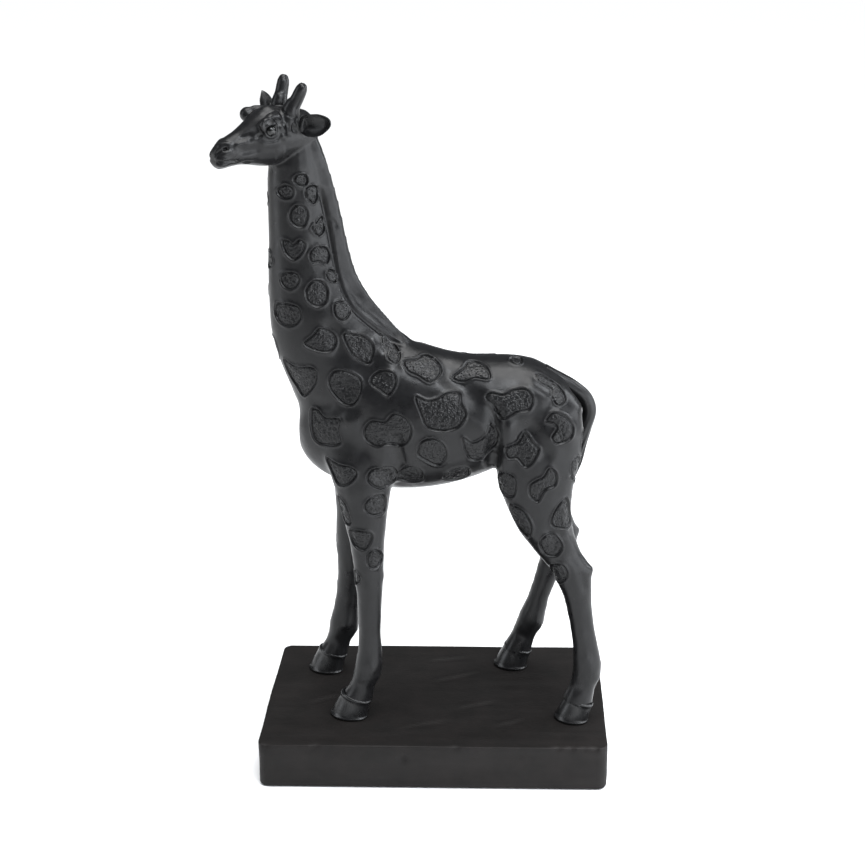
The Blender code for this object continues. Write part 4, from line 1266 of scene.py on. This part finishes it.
def build_plinth():
    """The slab: crisp top edge with chips, brushed top, slightly uneven faces."""
    lo, hi = low("plinth"), high("plinth")
    bm = bmesh.new()
    bmesh.ops.create_cube(bm, size=1.0)
    bmesh.ops.scale(bm, vec=tuple(hi - lo), verts=bm.verts)
    bmesh.ops.translate(bm, vec=tuple((lo + hi) / 2), verts=bm.verts)
    upright = [e for e in bm.edges if abs(e.verts[0].co.z - e.verts[1].co.z) > 1]
    bmesh.ops.bevel(bm, geom=upright, offset=CORNER, affect="EDGES", segments=8, profile=0.5, material=-1)
    rim = [e for e in bm.edges if e.verts[0].co.z > hi[2] - 0.1 and e.verts[1].co.z > hi[2] - 0.1]
    bmesh.ops.bevel(bm, geom=rim, offset=TOP_EDGE, affect="EDGES", segments=3, profile=0.5, material=-1)
    foot = [e for e in bm.edges if e.verts[0].co.z < lo[2] + 0.1 and e.verts[1].co.z < lo[2] + 0.1]
    bmesh.ops.bevel(bm, geom=foot, offset=FOOT_EDGE, affect="EDGES", segments=3, profile=0.5, material=-1)
    felt_hi = high("base_felt")
    under = max(bm.faces, key=lambda f: -f.normal.z * f.calc_area())
    rim_width = min(hi[0] - felt_hi[0], hi[1] - felt_hi[1]) - FOOT_EDGE - 0.4     # 0.4 mm clear of the felt
    bmesh.ops.inset_region(bm, faces=[under], thickness=rim_width, use_even_offset=True)
    bmesh.ops.translate(bm, vec=(0, 0, felt_hi[2] + 0.3 - lo[2]),
                        verts=bmesh.ops.extrude_discrete_faces(bm, faces=[under])["faces"][0].verts)
    for axis, step in ((0, 1.5), (1, 1.5), (2, 2.0)):
        normal = Vector([float(k == axis) for k in range(3)])
        for k in range(1, int((hi[axis] - lo[axis]) / step)):
            where = Vector((0, 0, 0))
            where[axis] = lo[axis] + k * step
            bmesh.ops.bisect_plane(bm, geom=bm.verts[:] + bm.edges[:] + bm.faces[:], plane_co=where,
                                   plane_no=normal)
    bmesh.ops.scale(bm, vec=(MM, MM, MM), verts=bm.verts)
    slab = new_object("plinth_slab", bm)
    skin = Skin(slab.data)
    for index, place_mm in enumerate(skin.at):
        x, y, z = place_mm
        if z < 3:
            continue
        brushed = noise.noise(Vector((x * 0.035, y * 0.22, z * 0.12)))
        swell = noise.noise(Vector((x * 0.018 + 7, y * 0.03, z * 0.05)))
        skin.at[index] += skin.normal[index] * (0.11 * brushed + 0.45 * swell)
    skin.write()
    front, top = lo[1], hi[2]
    for x, z, reach, depth in DENTS:
        skin.stroke([(x - 0.8, front, z - 1), (x + 0.8, front, z + 1)], reach, -depth, 0)
    for x in CHIPS:
        skin.stroke([(x - 1, front, top), (x + 1, front, top)], 2.0, -0.8, 0)
    for x, y, long, turn in BRUSH_RIDGES:
        c, s = math.cos(math.radians(turn)) * long / 2, math.sin(math.radians(turn)) * long / 2
        skin.stroke([(x - c, y - s, top), (x + c, y + s, top)], 2.4, 0.5)
        skin.stroke([(x - c, y - s - 3, top), (x + c, y + s - 3, top)], 2.2, -0.4)
    skin.write()
    slab.data.set_sharp_from_angle(angle=math.radians(50))
    finish_piece(slab, PLINTH_BLACK, "plinth_resin", "plinth")


def build_felt():
    """The felt sheet under the plinth, cut by hand, so that its edge wanders a little."""
    lo, hi = low("base_felt"), high("base_felt")
    bm = bmesh.new()
    bmesh.ops.create_grid(bm, x_segments=104, y_segments=56, size=0.5)
    bmesh.ops.scale(bm, vec=(hi[0] - lo[0], hi[1] - lo[1], 1), verts=bm.verts)
    for vert in bm.verts:
        edge = max(abs(vert.co.x) / hi[0], abs(vert.co.y) / hi[1])
        wander = noise.noise(Vector((vert.co.x * 0.09, vert.co.y * 0.09, 0))) * 0.25 - 0.2
        if edge > 0.98:
            vert.co.x += wander * (1 if vert.co.x > 0 else -1) * (abs(vert.co.x) / hi[0] > 0.98)
            vert.co.y += wander * (1 if vert.co.y > 0 else -1) * (abs(vert.co.y) / hi[1] > 0.98)
    bmesh.ops.scale(bm, vec=(MM, MM, MM), verts=bm.verts)
    pad = new_object("felt_pad", bm)
    thick = pad.modifiers.new("thickness", "SOLIDIFY")
    thick.thickness = (hi[2] - lo[2] - 0.05) * MM
    thick.offset = 1
    settled(pad)
    finish_piece(pad, FELT, "felt", "base_felt")


# ---------------------------------------------------------------- camera, floor and lights
def camera():
    """A view of the left side through a long lens, from 20.5 degrees above."""
    target = Vector((21.2, 0, 176.7)) * MM
    azimuth, elevation, distance = math.radians(1.13), math.radians(20.5), 789.5 * MM
    back = Vector((
        math.sin(azimuth) * math.cos(elevation),
        -math.cos(azimuth) * math.cos(elevation),
        math.sin(elevation),
    ))
    data = bpy.data.cameras.new("camera")
    data.lens = 64.5
    data.sensor_width = 36
    data.shift_x = -0.0497
    made = bpy.data.objects.new("camera", data)
    made.location = target + back * distance
    made.rotation_euler = back.to_track_quat("Z", "Y").to_euler()
    bpy.context.scene.collection.objects.link(made)
    bpy.context.scene.camera = made


AIM = Vector((0, 0, 0.2))      # the softboxes look at the figure's middle, in metres
# Name, place, size and power of each softbox, in metres and watts.
SOFTBOXES = (
    ("key_softbox", (0.8, -0.65, 0.95), (0.5, 0.4), 7),
    ("shoulder_softbox", (0.2, -0.55, 1.1), (0.45, 0.3), 7),
    ("left_softbox", (-1.0, -0.25, 0.5), (0.4, 0.9), 3.5),
    ("right_softbox", (0.95, -0.25, 0.3), (0.7, 0.55), 6),
    ("low_softbox", (0.62, -0.85, 0.2), (0.6, 0.36), 3.5),
    ("edge_softbox", (0.8, 0.3, 0.7), (0.25, 0.8), 6),
)


def softbox(name, place_at, size, power):
    data = bpy.data.lights.new(name, "AREA")
    data.shape = "RECTANGLE"
    data.size, data.size_y = size
    data.energy = power
    data.color = (0.93, 0.96, 1.0)
    made = bpy.data.objects.new(name, data)
    made.location = place_at
    made.rotation_euler = (Vector(place_at) - AIM).to_track_quat("Z", "Y").to_euler()
    bpy.context.scene.collection.objects.link(made)


def studio():
    """A white floor under a broad overhead light, with softboxes around the object and a weak fill."""
    bm = bmesh.new()
    bmesh.ops.create_grid(bm, x_segments=8, y_segments=8, size=6.0)
    floor = new_object("floor", bm)
    paper, _, _ = new_material("studio_paper", "#f6f6f6", 0.9)
    floor.data.materials.append(paper)
    sky = bpy.data.lights.new("overhead", "SUN")
    sky.energy = 3.05
    sky.angle = math.radians(45)
    overhead = bpy.data.objects.new("overhead", sky)
    overhead.rotation_euler = Vector((0.05, 0.02, 1)).to_track_quat("Z", "Y").to_euler()
    bpy.context.scene.collection.objects.link(overhead)
    for settings in SOFTBOXES:
        softbox(*settings)
    world = bpy.data.worlds.new("studio")
    world.use_nodes = True
    world.node_tree.nodes["Background"].inputs["Color"].default_value = (0.9, 0.95, 1, 1)
    world.node_tree.nodes["Background"].inputs["Strength"].default_value = 0.16
    bpy.context.scene.world = world
    bpy.context.scene.view_settings.view_transform = "Standard"


# ---------------------------------------------------------------- build
PAINT = ("#0c0c0d", "#121213", 0.33)      # covered and worn tone, roughness
BLACK = satin_paint("satin_black_paint", *PAINT)
SMOOTH_BLACK = satin_paint("satin_black_paint_smooth", *PAINT, dents=False)
PLINTH_BLACK = plinth_paint()
HOOF_GLOSS = enamel("gloss_black_enamel", "#0d0d0e", 0.28)
EYE_GLOSS = enamel("eye_black_enamel", "#070707", 0.15)
STEEL = drawn_steel()
FELT = pressed_felt()

build_figure()
for side, word in SIDES:
    build_eye(side, word)
    build_ear(side, word)
build_tail()
for leg in LEGS:
    build_hoof(leg)
for word in (*LEGS, "neck"):
    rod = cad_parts[word + "_rod"].data
    rod.materials.clear()
    rod.materials.append(STEEL)
build_plinth()
build_felt()
camera()
studio()
